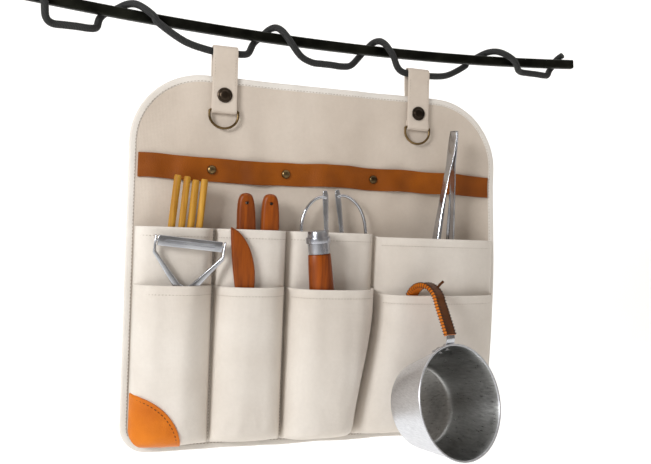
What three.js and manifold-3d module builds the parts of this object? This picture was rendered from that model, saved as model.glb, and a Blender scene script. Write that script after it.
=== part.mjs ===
// A canvas pocket organiser that hangs by two snap straps from a laced rail, with the kitchen
// tools that stand in its pockets and a cup that hooks over a pocket edge.
// Millimetres. X runs right, Y away from the viewer, Z up. The origin is the rail's centre.
// "p" is a depth below the panel's top edge, so a point's Z is -HANG - p.
import * as THREE from 'three';
import { mergeVertices } from 'three/addons/utils/BufferGeometryUtils.js';
import Module from 'manifold-3d';

const wasm = await Module();
wasm.setup();

// ---------------------------------------------------------------- driving dimensions
const GAP = 0.3;                 // clearance between pieces that touch
const CLOTH = 1.2;               // one layer of canvas
const HANG = 44;                 // rail centre down to the panel's top edge

const RAIL_LENGTH = 600, RAIL_HEIGHT = 10, RAIL_DEPTH = 8, RAIL_BOW = 13.5;
const CORD_DIAMETER = 7, CORD_DROP = 19;      // drop: rail centre to the cord inside a strap

const PANEL_WIDTH = 400, PANEL_HEIGHT = 370, PANEL_THICKNESS = 3;
const TOP_RADIUS = 70, BOTTOM_RADIUS = 26;
const BINDING_WIDTH = 7.5, BINDING_THICKNESS = 4.4, BINDING_WRAP = 1.5;

const KNIFE_THICKNESS = 21;                   // the folding knife fills the third lower pocket
const SEAMS = [-116, -43, 52.5];              // stitched lines between the pocket columns
const UPPER_EDGE = [151, 151, 151, 154];      // p of each column's open edge
const LOWER_EDGE = [206, 207, 208, 213];
const UPPER_MOUTH = [20.5, 23.5, 15, 33.5];    // how far forward each pocket's inside reaches
const UPPER_FOOT = [10.5, 12, 9, 20];         // the same near the pocket's bottom
const LOWER_MOUTH = [31.5, 32, 19 + KNIFE_THICKNESS, 41.5];
const LOWER_FOOT = [22, 25, 15.5 + KNIFE_THICKNESS,
  LOWER_MOUTH[3] - 12.5 * (PANEL_HEIGHT - 234.2) / 135.8];     // the cup's hook needs this slope
const POCKET_CLOSE = 12;                      // height over which a pocket closes at its foot
const UPPER_STEEP = 4, LOWER_STEEP = 5;       // slope of a pocket's side walls
const SEAM_HALF = 1.5;                        // half width of a stitched strip
const UPPER_MARGIN = 2.6, LOWER_MARGIN = 0.8; // a pocket's inside starts this far from its seam
const UPPER_RISE = 3.2, LOWER_RISE = 1.4;     // and this far above the row's raw lower edge

const BAND_TOP = 81, BAND_WIDTH = 24, BAND_THICKNESS = 2;
const RIVET_RADIUS = 4.4, RIVET_SHANK = 1.4;
const RIVET_X = [-120.6, -44.7, 51.8];
const PATCH_SIZE = 52, PATCH_BULGE = 14, PATCH_THICKNESS = 2;

const STRAP_X = [-111, 100], STRAP_WIDTH = 25, STRAP_THICKNESS = 1.6;
const STRAP_WRAP = CORD_DIAMETER / 2 + 0.9;   // inside radius of the strap round the cord
const STRAP_TAIL = 42, STRAP_FOLD = 34;       // p of the back leg's end and of the front fold
const SNAP_P = 19, SNAP_RADIUS = 7.5;
const D_WIRE = 1.2, D_WIDTH = 31, D_HEIGHT = 20;

const STICK_RADIUS = 3.3, STICK_LENGTH = 240;
const HANDLE_LENGTH = 108, HANDLE_WIDTH = 19, HANDLE_THICKNESS = 11, CUTLERY_LENGTH = 218;
const SCISSOR_PLATE = 2, SCISSOR_WIRE = 1.6, SCISSOR_STEM = 5.6;
const SCISSOR_GRIP = 130, SCISSOR_BLADE = 90;
const TONGS_LENGTH = 304, TONGS_BELLY = 13, TONGS_WIDTH = 12, TONGS_SHEET = 1.5, TONGS_PIN = 3;
const TONGS_TURN = 15;                        // degrees the tongs are turned in their pocket
const PEELER_SPAN = 67, PEELER_BAR = 10, PEELER_ARM = 44, PEELER_HANDLE = 110, PEELER_THICKNESS = 5;
const SPREADER_LENGTH = 196, SPREADER_THICKNESS = 6;
const KNIFE_LENGTH = 150, KNIFE_COLLAR = 12, KNIFE_SLOT = 2.6;
const CUP_RIM = 54.3, CUP_BASE = 41.6, CUP_DEPTH = 57.7, CUP_WALL = 1.2;
const HOOK_WIDTH = 8.5, HOOK_SHEET = 1.6, WRAP_COVER = 1.3;

// ---------------------------------------------------------------- materials
const look = (colour, roughness, metalness = 0) =>
  new THREE.MeshStandardMaterial({ color: colour, roughness, metalness });
const canvas = look(0xe2d8c6, 0.9), pocketCanvas = look(0xddd2c0, 0.9), tape = look(0xe8e0d0, 0.85);
const tanLeather = look(0x96500f, 0.6), orangeLeather = look(0xd2741e, 0.6);
const blackMetal = look(0x17170f, 0.5, 0.6), blackCord = look(0x15150f, 0.8);
const brass = look(0x8a6a35, 0.4, 1), darkSnap = look(0x2a251f, 0.45, 0.9);
const bamboo = look(0xcf9d45, 0.6), redWood = look(0x9a4a20, 0.55), brownWood = look(0xa8562a, 0.6);
const steel = look(0xb9bcc0, 0.25, 1), aluminium = look(0xa9a9a6, 0.4, 1);

// ---------------------------------------------------------------- making solids
const part = new THREE.Group();
part.name = 'hanging_pocket_organiser';

function solid(geometry) {
  const g = geometry.clone();
  for (const name of Object.keys(g.attributes)) if (name !== 'position') g.deleteAttribute(name);
  const merged = mergeVertices(g, 1e-4);
  return new wasm.Manifold(new wasm.Mesh({
    numProp: 3,
    vertProperties: new Float32Array(merged.attributes.position.array),
    triVerts: new Uint32Array(merged.index.array),
  }));
}

function geometryOf(manifold) {
  const mesh = manifold.getMesh();
  const g = new THREE.BufferGeometry();
  g.setAttribute('position', new THREE.BufferAttribute(new Float32Array(mesh.vertProperties), 3));
  g.setIndex(new THREE.BufferAttribute(new Uint32Array(mesh.triVerts), 1));
  g.computeVertexNormals();
  return g;
}

const join = (...geometries) => geometryOf(
  geometries.slice(1).reduce((sum, g) => sum.add(solid(g)), solid(geometries[0])));
const cut = (geometry, ...tools) => geometryOf(
  tools.reduce((rest, g) => rest.subtract(solid(g)), solid(geometry)));
const common = (a, b) => geometryOf(solid(a).intersect(solid(b)));

function piece(name, geometry, material, parent = part) {
  const mesh = new THREE.Mesh(geometry, material);
  mesh.name = name;
  parent.add(mesh);
  return mesh;
}

const outline = (points) => new THREE.Shape(points.map(([a, b]) => new THREE.Vector2(a, b)));
const hole = (x, z, radius) => new THREE.Path().absarc(x, z, radius, 0, 2 * Math.PI, true);

// A flat plate: its outline is drawn in X and Z, its back face is at Y = back.
function plate(shape, back, thickness, curveSegments = 6) {
  const g = new THREE.ExtrudeGeometry(shape, { depth: thickness, bevelEnabled: false, curveSegments });
  return g.rotateX(Math.PI / 2).translate(0, back, 0);
}

// A bar whose section is drawn in Y and Z and which runs along X, centred on X = x.
function bar(shape, x, width, curveSegments = 6) {
  const g = new THREE.ExtrudeGeometry(shape, { depth: width, bevelEnabled: false, curveSegments });
  const turn = new THREE.Matrix4().makeBasis(
    new THREE.Vector3(0, 1, 0), new THREE.Vector3(0, 0, 1), new THREE.Vector3(1, 0, 0));
  return g.applyMatrix4(turn).translate(x - width / 2, 0, 0);
}

// A column whose section is drawn in X and Y and which runs up from z.
const column = (shape, z, height) =>
  new THREE.ExtrudeGeometry(shape, { depth: height, bevelEnabled: false }).translate(0, 0, z);

// A turned piece on the Y axis: the profile is [radius, distance towards the viewer].
const turned = (profile, segments = 24) =>
  new THREE.LatheGeometry(profile.map(([r, h]) => new THREE.Vector2(r, h)), segments)
    .rotateX(Math.PI);

// A ribbon of constant thickness along a line of points, as an outline.
function ribbon(points, thickness) {
  const left = [], right = [];
  points.forEach(([a, b], i) => {
    const [pa, pb] = points[Math.max(i - 1, 0)], [na, nb] = points[Math.min(i + 1, points.length - 1)];
    const run = Math.hypot(na - pa, nb - pb), ua = (na - pa) / run, ub = (nb - pb) / run;
    left.push([a - ub * thickness / 2, b + ua * thickness / 2]);
    right.unshift([a + ub * thickness / 2, b - ua * thickness / 2]);
  });
  return outline([...left, ...right]);
}

const arc = (ca, cb, radius, from, to, steps) => Array.from({ length: steps + 1 }, (_, i) => {
  const t = THREE.MathUtils.degToRad(from + (to - from) * i / steps);
  return [ca + radius * Math.cos(t), cb + radius * Math.sin(t)];
});

// A round rod bent along points; every point is one ring of the rod.
function rod(points, radius, sides = 8, between = 1, tension = 0.5) {
  const path = new THREE.CatmullRomCurve3(
    points.map((v) => new THREE.Vector3(...v)), false, 'catmullrom', tension);
  path.getUtoTmapping = (u) => u;
  const ring = outline(arc(0, 0, radius, 0, 360 - 360 / sides, sides - 1));
  return new THREE.ExtrudeGeometry(ring, {
    steps: (points.length - 1) * between, bevelEnabled: false, extrudePath: path });
}

// ---------------------------------------------------------------- rail and its laced cord
const railZ = (x) => RAIL_BOW * (2 * x / RAIL_LENGTH) ** 2;
const railSteps = Array.from({ length: 25 }, (_, i) => -RAIL_LENGTH / 2 + i * RAIL_LENGTH / 24);
piece('rail', plate(outline([
  ...railSteps.map((x) => [x, railZ(x) - RAIL_HEIGHT / 2]),
  ...railSteps.slice().reverse().map((x) => [x, railZ(x) + RAIL_HEIGHT / 2]),
]), RAIL_DEPTH / 2, RAIL_DEPTH), blackMetal);

// The cord leaves the rail's front, hangs in a slack loop, comes up behind and laps over the top.
// [where it leaves the front, lowest point, drop below the rail centre there, where it comes up]
const CORD_LOOPS = [
  [-284, -256, 10.7, -226],
  [-182, STRAP_X[0], CORD_DROP, -76],
  [-50, -4, 19.5, 40],
  [62, STRAP_X[1], CORD_DROP, 168],
  [214, 247, 3, 282],
];
const lap = Math.hypot(RAIL_HEIGHT, RAIL_DEPTH) / 2 + CORD_DIAMETER / 2 + 1;
const round = (x, degrees) => {
  const t = THREE.MathUtils.degToRad(degrees);
  return [x, -lap * Math.cos(t), railZ(x) + lap * Math.sin(t)];
};
const cordPoints = [];
CORD_LOOPS.forEach(([leave, low, drop, back], i) => {
  const start = i ? CORD_LOOPS[i - 1][3] : leave - 14;
  for (const [share, angle] of [[0.22, 150], [0.42, 112], [0.6, 75], [0.78, 38]])
    cordPoints.push(round(start + (leave - start) * share, i ? angle : Math.min(angle, 90)));
  cordPoints.push(round(leave, 0));
  const flat = STRAP_WIDTH / 2 + 4;
  const zl = railZ(leave), zb = railZ(back);
  cordPoints.push([leave + 5, -lap + 0.6, zl - 6]);
  cordPoints.push([THREE.MathUtils.lerp(leave, low - flat, 0.55), -lap * 0.6, THREE.MathUtils.lerp(zl - 6, -drop, 0.75)]);
  cordPoints.push([low - flat, -lap * 0.12, -drop], [low - flat / 3, 0, -drop], [low + flat / 3, 0, -drop],
    [low + flat, lap * 0.12, -drop]);
  cordPoints.push([THREE.MathUtils.lerp(back, low + flat, 0.55), lap * 0.6, THREE.MathUtils.lerp(zb - 6, -drop, 0.75)]);
  cordPoints.push([back - 5, lap - 0.6, zb - 6]);
  cordPoints.push(round(back, 180));
});
const lastX = CORD_LOOPS[4][3];
for (const [dx, angle] of [[3, 140], [6, 95]]) cordPoints.push(round(lastX + dx, angle));
piece('lacing_cord', rod(cordPoints, CORD_DIAMETER / 2, 8), blackCord);

// ---------------------------------------------------------------- panel and binding
// The panel's outline, drawn in by "inset" on every side.
function panelOutline(inset, holes = []) {
  const w = PANEL_WIDTH / 2 - inset, top = -HANG - inset, foot = -HANG - PANEL_HEIGHT + inset;
  const rt = TOP_RADIUS - inset, rb = BOTTOM_RADIUS - inset;
  const shape = outline([
    ...arc(w - rt, top - rt, rt, 0, 90, 10), ...arc(-w + rt, top - rt, rt, 90, 180, 10),
    ...arc(-w + rb, foot + rb, rb, 180, 270, 6), ...arc(w - rb, foot + rb, rb, 270, 360, 6),
  ]);
  shape.holes.push(...holes);
  return shape;
}
const bandMid = -HANG - BAND_TOP - BAND_WIDTH / 2;
const snapZ = -HANG - SNAP_P;
const STUD_SHANK = 1.5;
const panelFront = -PANEL_THICKNESS / 2;
piece('back_panel', plate(panelOutline(BINDING_WRAP, [
  ...RIVET_X.map((x) => hole(x, bandMid, RIVET_SHANK + GAP)),
  ...STRAP_X.map((x) => hole(x, snapZ, STUD_SHANK + GAP)),
]), PANEL_THICKNESS / 2, PANEL_THICKNESS, 5), canvas);
piece('edge_binding', cut(
  plate(panelOutline(0), BINDING_THICKNESS / 2, BINDING_THICKNESS),
  plate(panelOutline(BINDING_WIDTH), BINDING_THICKNESS, BINDING_THICKNESS * 2),
  plate(panelOutline(BINDING_WRAP - GAP), PANEL_THICKNESS / 2 + GAP, PANEL_THICKNESS + 2 * GAP),
), tape);

// ---------------------------------------------------------------- pockets
const clothSide = PANEL_WIDTH / 2 - BINDING_WIDTH - GAP;         // X of a pocket row's raw side
const clothFoot = PANEL_HEIGHT - BINDING_WIDTH - GAP;            // p of its raw lower edge
const columns = [-clothSide, ...SEAMS, clothSide];
const upperBack = panelFront - GAP, lowerBack = upperBack - CLOTH - GAP;

// The space a pocket encloses, grown outwards by "grow".
function pocketSpace(i, edge, mouth, foot, back, steep, margin, rise, grow, over) {
  const shift = grow * Math.hypot(1, steep) / steep;
  const left = columns[i] + margin - shift, right = columns[i + 1] - margin + shift;
  const reach = 60, run = reach / steep, behind = 8;
  const plan = outline([[left, back + behind], [left, back], [left + run, back - reach],
    [right - run, back - reach], [right, back], [right, back + behind]]);
  const zFoot = -HANG - clothFoot + rise;
  const side = outline([
    [back + behind, zFoot - grow], [back, zFoot - grow], [-foot - grow, zFoot + POCKET_CLOSE],
    [-mouth - grow, -HANG - edge + over], [back + behind, -HANG - edge + over]]);
  const width = columns[i + 1] - columns[i] + 20;
  return common(column(plan, zFoot - 20, clothFoot),
    bar(side, (columns[i] + columns[i + 1]) / 2, width));
}

const strip = (x0, x1, p0, p1, back) => plate(outline([
  [x0, -HANG - p1], [x1, -HANG - p1], [x1, -HANG - p0], [x0, -HANG - p0]]), back, CLOTH);

function pocketRow(edges, mouths, feet, back, steep, margin, rise) {
  let row = null;
  const grow = (s) => { row = row ? row.add(s) : s; };
  const behind = solid(plate(outline([[-300, -600], [300, -600], [300, 0], [-300, 0]]), back + 30, 30));
  for (let i = 0; i < 4; i++)
    grow(solid(pocketSpace(i, edges[i], mouths[i], feet[i], back, steep, margin, rise, CLOTH, 0)).subtract(behind));
  const side = SEAM_HALF * 2;
  grow(solid(strip(-clothSide, -clothSide + side + 1, edges[0], clothFoot, back)));
  grow(solid(strip(clothSide - side - 1, clothSide, edges[3], clothFoot, back)));
  SEAMS.forEach((x, i) => grow(solid(strip(
    x - SEAM_HALF, x + SEAM_HALF, Math.max(edges[i], edges[i + 1]), clothFoot, back))));
  grow(solid(strip(-clothSide, clothSide, clothFoot - 2 * side, clothFoot, back)));
  for (let i = 0; i < 4; i++)
    row = row.subtract(solid(pocketSpace(i, edges[i], mouths[i], feet[i], back, steep, margin, rise, 0, 10)));
  // the raw lower corners follow the inside of the binding
  return row.intersect(solid(plate(panelOutline(BINDING_WIDTH + GAP), 20, 120)));
}
piece('upper_pocket_row', geometryOf(
  pocketRow(UPPER_EDGE, UPPER_MOUTH, UPPER_FOOT, upperBack, UPPER_STEEP, UPPER_MARGIN, UPPER_RISE)), pocketCanvas);
piece('lower_pocket_row', geometryOf(
  pocketRow(LOWER_EDGE, LOWER_MOUTH, LOWER_FOOT, lowerBack, LOWER_STEEP, LOWER_MARGIN, LOWER_RISE)), pocketCanvas);

// ---------------------------------------------------------------- leather band, rivets, corners
piece('leather_band', (() => {
  const shape = outline([
    [-clothSide, bandMid - BAND_WIDTH / 2], [clothSide, bandMid - BAND_WIDTH / 2],
    [clothSide, bandMid + BAND_WIDTH / 2], [-clothSide, bandMid + BAND_WIDTH / 2]]);
  shape.holes.push(...RIVET_X.map((x) => hole(x, bandMid, RIVET_SHANK + GAP)));
  return plate(shape, panelFront - GAP, BAND_THICKNESS, 5);
})(), tanLeather);
const bandFront = -panelFront + GAP + BAND_THICKNESS + GAP;      // distances towards the viewer
RIVET_X.forEach((x, i) => piece(`band_rivet_${i + 1}`, turned([
  [0, -PANEL_THICKNESS / 2 - GAP - 1], [3, -PANEL_THICKNESS / 2 - GAP - 1],
  [3, -PANEL_THICKNESS / 2 - GAP], [RIVET_SHANK, -PANEL_THICKNESS / 2 - GAP],
  [RIVET_SHANK, bandFront], [RIVET_RADIUS, bandFront], [RIVET_RADIUS * 0.94, bandFront + 0.8],
  [RIVET_RADIUS * 0.6, bandFront + 1.9], [0, bandFront + 2.4],
], 16).translate(x, 0, bandMid), brass));

// A leather corner lies on the bulge of the lower pocket that it covers.
function cornerPatch(side) {
  const i = side < 0 ? 0 : 3;
  const skin = (grow) => solid(pocketSpace(
    i, LOWER_EDGE[i], LOWER_MOUTH[i], LOWER_FOOT[i], lowerBack, LOWER_STEEP, LOWER_MARGIN,
    LOWER_RISE, grow, 0));
  const foot = -HANG - clothFoot, s = side, w = clothSide - GAP;
  const r = PATCH_SIZE;
  const edge = [[s * w, foot + r], ...[0.25, 0.5, 0.75].map((t) => {
    const bow = PATCH_BULGE * 4 * t * (1 - t) / Math.SQRT2;
    return [s * (w - r * t * 0.88 - bow), foot + r * (1 - t) + bow];
  }), [s * (w - r * 0.88), foot]];
  const points = [...edge, [s * w, foot]];
  const prism = solid(plate(outline(s < 0 ? points.reverse() : points), 0, 80));
  const inside = solid(plate(panelOutline(BINDING_WIDTH + 2 * GAP), 20, 120));
  const under = skin(CLOTH + GAP).add(solid(plate(outline(
    [[-300, -600], [300, -600], [300, 0], [-300, 0]]), 40, 40 - lowerBack + CLOTH + GAP)));
  const over = skin(CLOTH + GAP + PATCH_THICKNESS).add(solid(plate(outline(
    [[-300, -600], [300, -600], [300, 0], [-300, 0]]), 40,
  40 - lowerBack + CLOTH + GAP + PATCH_THICKNESS)));
  return geometryOf(over.subtract(under).intersect(prism).intersect(inside));
}
piece('corner_patch_left', cornerPatch(-1), orangeLeather);
piece('corner_patch_right', cornerPatch(1), orangeLeather);

// ---------------------------------------------------------------- hanger straps, snaps, D-rings
const cordZ = -CORD_DROP;
const wrapMid = STRAP_WRAP + STRAP_THICKNESS / 2;                // centre of the strap's thickness
const backMid = BINDING_THICKNESS / 2 + GAP + STRAP_THICKNESS / 2;
const hoopInside = D_WIRE + GAP, hoopOutside = hoopInside + STRAP_THICKNESS;
const foldZ = -HANG - STRAP_FOLD;
const capBack = STRAP_WRAP + STRAP_THICKNESS + GAP;              // distances towards the viewer
const socketFront = STRAP_WRAP - GAP, studFoot = -panelFront + GAP;
STRAP_X.forEach((x, i) => {
  const side = i ? 'right' : 'left';
  piece(`strap_back_${side}`, cut(bar(ribbon([
    ...arc(0, cordZ, wrapMid, 180, 0, 12), [wrapMid, cordZ - 8], [backMid, -HANG + 5],
    [backMid, -HANG - STRAP_TAIL],
  ], STRAP_THICKNESS), x, STRAP_WIDTH),
  turned([[0, -8], [4.5 + GAP, -8], [4.5 + GAP, 0], [0, 0]], 12).translate(x, 0, snapZ)), canvas);

  // the front leg's rounded top is the centre it folds open about
  const leg = cut(bar(outline([
    ...arc(-wrapMid, cordZ - GAP - STRAP_THICKNESS / 2, STRAP_THICKNESS / 2, 0, 180, 6),
    [-wrapMid - STRAP_THICKNESS / 2, foldZ], [-wrapMid + STRAP_THICKNESS / 2, foldZ],
  ]), x, STRAP_WIDTH), turned([[0, 0], [2.2, 0], [2.2, 12], [0, 12]], 12).translate(x, 0, snapZ));
  const hoop = bar(outline(arc(-wrapMid, foldZ, hoopOutside, 0, 337.5, 15)), x, STRAP_WIDTH);
  const bore = bar(outline(arc(-wrapMid, foldZ, hoopInside, 0, 330, 11)), x, STRAP_WIDTH + 4);
  piece(`strap_front_${side}`, cut(join(leg, hoop), bore), canvas);

  piece(`snap_cap_${side}`, turned([
    [0, socketFront - 1], [2.2 - GAP, socketFront - 1], [2.2 - GAP, capBack], [SNAP_RADIUS, capBack],
    [SNAP_RADIUS, capBack + 0.7], [SNAP_RADIUS * 0.85, capBack + 1.6], [SNAP_RADIUS * 0.5, capBack + 2.2],
    [0, capBack + 2.5],
  ], 20).translate(x, 0, snapZ), darkSnap);
  piece(`snap_socket_${side}`, turned([
    [2.2, socketFront - 1.3], [5.5, socketFront - 1.3], [5.5, socketFront], [2.2, socketFront],
    [2.2, socketFront - 1.3],
  ], 16).translate(x, 0, snapZ), darkSnap);
  piece(`snap_stud_${side}`, turned([
    [0, -studFoot - 0.8], [4.5, -studFoot - 0.8], [4.5, -studFoot], [STUD_SHANK, -studFoot],
    [STUD_SHANK, studFoot], [4.5, studFoot], [4.5, studFoot + 0.6], [STUD_SHANK, studFoot + 0.6],
    [STUD_SHANK, studFoot + 1.0], [0, studFoot + 1.0],
  ], 16).translate(x, 0, snapZ), darkSnap);

  const half = D_WIDTH / 2 - D_WIRE, drop = D_HEIGHT - 2 * D_WIRE, straight = drop * 0.25;
  const bow = arc(0, 0, 1, 180, 360, 10).map(([c, s]) =>
    [x + half * c, -wrapMid, foldZ - straight + (drop - straight) * s]);
  piece(`d_ring_${side}`, join(
    rod([[x - half, -wrapMid, foldZ], ...bow, [x + half, -wrapMid, foldZ]], D_WIRE, 8),
    rod([[x - half - D_WIRE, -wrapMid, foldZ], [x, -wrapMid, foldZ], [x + half + D_WIRE, -wrapMid, foldZ]],
      D_WIRE, 8)), brass);
});

// ---------------------------------------------------------------- tools that stand in the pockets
// A group whose origin is a tool's lower end, "above" the panel's foot; its local Z runs up the
// tool, which leans "right" degrees towards +X and "out" degrees towards the viewer.
function stand(x, above, forward, right, out) {
  const group = new THREE.Group();
  group.position.set(x, -forward, -HANG - PANEL_HEIGHT + above);
  group.rotation.set(THREE.MathUtils.degToRad(out), THREE.MathUtils.degToRad(right), 0, 'XYZ');
  part.add(group);
  return group;
}
const centred = (shape, thickness, curveSegments) => plate(shape, thickness / 2, thickness, curveSegments);
const turnedUp = (profile, segments = 12) =>
  new THREE.LatheGeometry(profile.map(([r, z]) => new THREE.Vector2(r, z)), segments).rotateX(Math.PI / 2);

const STICKS = [[-176, 30, 5], [-164.6, 29, 4.4], [-155.6, 26, 4.2], [-147.2, 27, 4.2]];
STICKS.forEach(([x, above, right], i) => {
  const r = STICK_RADIUS;
  piece(`chopstick_${i + 1}`, turnedUp([[0, 0], [r * 0.6, 0], [r, 60], [r, STICK_LENGTH - 1],
    [r - 0.8, STICK_LENGTH], [0, STICK_LENGTH]], 8), bamboo, stand(x, above, 6.5, right, 3));
});

const handleShape = (hang = true) => {
  const w = HANDLE_WIDTH / 2, z0 = CUTLERY_LENGTH - HANDLE_LENGTH, z1 = CUTLERY_LENGTH;
  const shape = outline([[-w * 0.72, z0], [w * 0.72, z0], [w, z0 + 45], [w * 0.9, z1 - 14],
    [w * 0.66, z1 - 3], [w * 0.3, z1], [-w * 0.3, z1], [-w * 0.66, z1 - 3], [-w * 0.9, z1 - 14],
    [-w, z0 + 45]]);
  if (hang) shape.holes.push(hole(0, z1 - 9, 1.8));
  return shape;
};
const CUTLERY = [['table_knife', -77.5, -3], ['table_fork', -58.5, -1.5]];
CUTLERY.forEach(([name, x, right]) => {
  const group = stand(x, 37, 6.8, right, 3);
  piece(`${name}_handle`, centred(handleShape(), HANDLE_THICKNESS, 4), redWood, group);
  const neck = CUTLERY_LENGTH - HANDLE_LENGTH - GAP;
  const blade = name === 'table_knife'
    ? outline([[-2, 0], [4, 4], [8, 20], [8, neck - 14], [4, neck], [-4, neck], [-4, neck - 10], [-7, 22]])
    : outline([[-8, 0], [-6.4, 0], [-5.2, 36], [-1.8, 36], [-0.9, 0], [0.9, 0], [1.8, 36], [5.2, 36],
      [6.4, 0], [8, 0], [8.6, 40], [6, 56], [3, 64], [4, neck], [-4, neck], [-3, 64], [-6, 56], [-8.6, 40]]);
  piece(`${name}_${name === 'table_knife' ? 'blade' : 'tines'}`, centred(blade, 2), steel, group);
});

// scissors: the origin is the pivot, grips up
const scissors = stand(16, 134, 8, -6.5, 2);
const plateGap = (SCISSOR_PLATE + GAP) / 2;
[[-1, 'left'], [1, 'right']].forEach(([s, side]) => {
  const w = SCISSOR_STEM / 2, top = SCISSOR_GRIP, y = s * plateGap;
  const flat = outline((s < 0 ? (v) => v : (v) => v.map(([a, b]) => [-a, b]).reverse())([
    [-1, -SCISSOR_BLADE], [6, -SCISSOR_BLADE * 0.6], [7.5, -12], [7, 9], [-9 + w, 60], [-9 + w, 92],
    [-6.6 + w, top - 4], [-8 + w, top], [-6.6 - w, top], [-8 - w, 92], [-9.6 - w, 60], [-8, 6], [-2, -14]]));
  const half = cut(plate(flat, SCISSOR_PLATE / 2, SCISSOR_PLATE),
    turned([[0, -9], [2 + GAP, -9], [2 + GAP, 9], [0, 9]], 12));
  const wire = rod([[7, 121], [13, 122.5], [21, 119], [29, 111], [34, 99], [35.5, 84], [34, 68], [28, 55],
    [19, 48], [8, 47]].map(([a, c]) => [s * a, 0, c]), SCISSOR_WIRE, 8);
  const mesh = piece(`scissor_half_${side}`, join(half, wire), steel, scissors);
  mesh.position.y = y;
});
piece('scissor_pivot', turned([
  [0, -2 * plateGap - 1.2], [4, -2 * plateGap - 1.2], [4, -2 * plateGap - 0.1], [2, -2 * plateGap - 0.1],
  [2, 2 * plateGap + 0.1], [4, 2 * plateGap + 0.1], [4, 2 * plateGap + 1.2], [0, 2 * plateGap + 1.2],
], 12), steel, scissors);

// tongs: jaws up, the two arms meet at a pin below
const tongs = stand(119, 29, 10, 2.8, 3);
const tongsPlane = new THREE.Group();
tongsPlane.rotation.z = THREE.MathUtils.degToRad(TONGS_TURN);
tongs.add(tongsPlane);
[[-1, 'front'], [1, 'back']].forEach(([s, side]) => {
  const near = TONGS_PIN + GAP + TONGS_SHEET / 2, meet = GAP / 2 + TONGS_SHEET / 2, h = TONGS_LENGTH;
  const line = [[near, 0], [near + 1, 30], [TONGS_BELLY * 0.8, 90], [TONGS_BELLY, 150], [TONGS_BELLY * 0.85, 200],
    [TONGS_BELLY * 0.45, 245], [meet + 1.6, 268], [meet + 0.3, 288], [meet, h]].map(([a, b]) => [s * a, b]);
  piece(`tongs_arm_${side}`, centred(ribbon(line, TONGS_SHEET), TONGS_WIDTH), steel, tongsPlane);
});
piece('tongs_pin', turned([[0, -TONGS_WIDTH / 2], [TONGS_PIN, -TONGS_WIDTH / 2], [TONGS_PIN, TONGS_WIDTH / 2],
  [0, TONGS_WIDTH / 2]], 12), steel, tongsPlane);

// peeler: a fork of flat bar on a handle, with a blade that swivels between its two ends
const peeler = stand(-158.2, 25, 16.6, 5, 4);
const headZ = PEELER_HANDLE + PEELER_ARM + 26, halfSpan = PEELER_SPAN / 2;
const pinRadius = 1.3, ear = 2.4;
const fork = outline([
  [-4.5, 0], [4.5, 0], [7, 30], [4.5, PEELER_HANDLE], [7, PEELER_HANDLE + 24],
  [halfSpan, headZ - 12], [halfSpan, headZ + 5], [halfSpan - ear, headZ + 5], [halfSpan - ear, headZ - 10],
  [4, PEELER_HANDLE + 32], [0, PEELER_HANDLE + 29], [-4, PEELER_HANDLE + 32],
  [-halfSpan + ear, headZ - 10], [-halfSpan + ear, headZ + 5], [-halfSpan, headZ + 5],
  [-halfSpan, headZ - 12], [-7, PEELER_HANDLE + 24], [-4.5, PEELER_HANDLE], [-7, 30]]);
const cross = (radius, length) => turnedUp([[0, -length / 2], [radius, -length / 2], [radius, length / 2],
  [0, length / 2]], 10).rotateY(Math.PI / 2).translate(0, 0, headZ);
piece('peeler_frame', cut(centred(fork, PEELER_THICKNESS), cross(pinRadius + GAP, PEELER_SPAN + 10)),
  steel, peeler);
const bladeSpan = PEELER_SPAN - 2 * ear - 2 * 0.6, slot = 2.2;
const bladeShape = outline([[-bladeSpan / 2, headZ - PEELER_BAR / 2], [bladeSpan / 2, headZ - PEELER_BAR / 2],
  [bladeSpan / 2, headZ + PEELER_BAR / 2], [-bladeSpan / 2, headZ + PEELER_BAR / 2]]);
const bladeSlot = outline([[-bladeSpan / 2 + 6, headZ - slot / 2], [bladeSpan / 2 - 6, headZ - slot / 2],
  [bladeSpan / 2 - 6, headZ + slot / 2], [-bladeSpan / 2 + 6, headZ + slot / 2]]);
const trunnion = halfSpan - 0.2 - bladeSpan / 2 + 2;
piece('peeler_blade', join(cut(centred(bladeShape, 3.2), centred(bladeSlot, 20)),
  ...[-1, 1].map((s) => cross(pinRadius, trunnion).translate(s * (halfSpan - 0.2 - trunnion / 2), 0, 0))),
steel, peeler);

// wooden spreader
const spreaderLean = Math.atan2(UPPER_MOUTH[1] - 13.333, PANEL_HEIGHT - 25 - UPPER_EDGE[1]);
const spreader = stand(-84, 25, 19.4, -2, THREE.MathUtils.radToDeg(spreaderLean));
const sl = SPREADER_LENGTH;
piece('wooden_spreader', centred(outline([
  [-6, 0], [6, 0], [9, 6], [9, 60], [8, 110], [9.5, sl - 56], [9, sl - 36], [4, sl - 18], [-4, sl - 6],
  [-12, sl], [-14, sl - 3], [-12, sl - 36], [-10, sl - 56], [-8, 110], [-9, 60], [-9, 6]]), SPREADER_THICKNESS),
  redWood, spreader);

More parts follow.
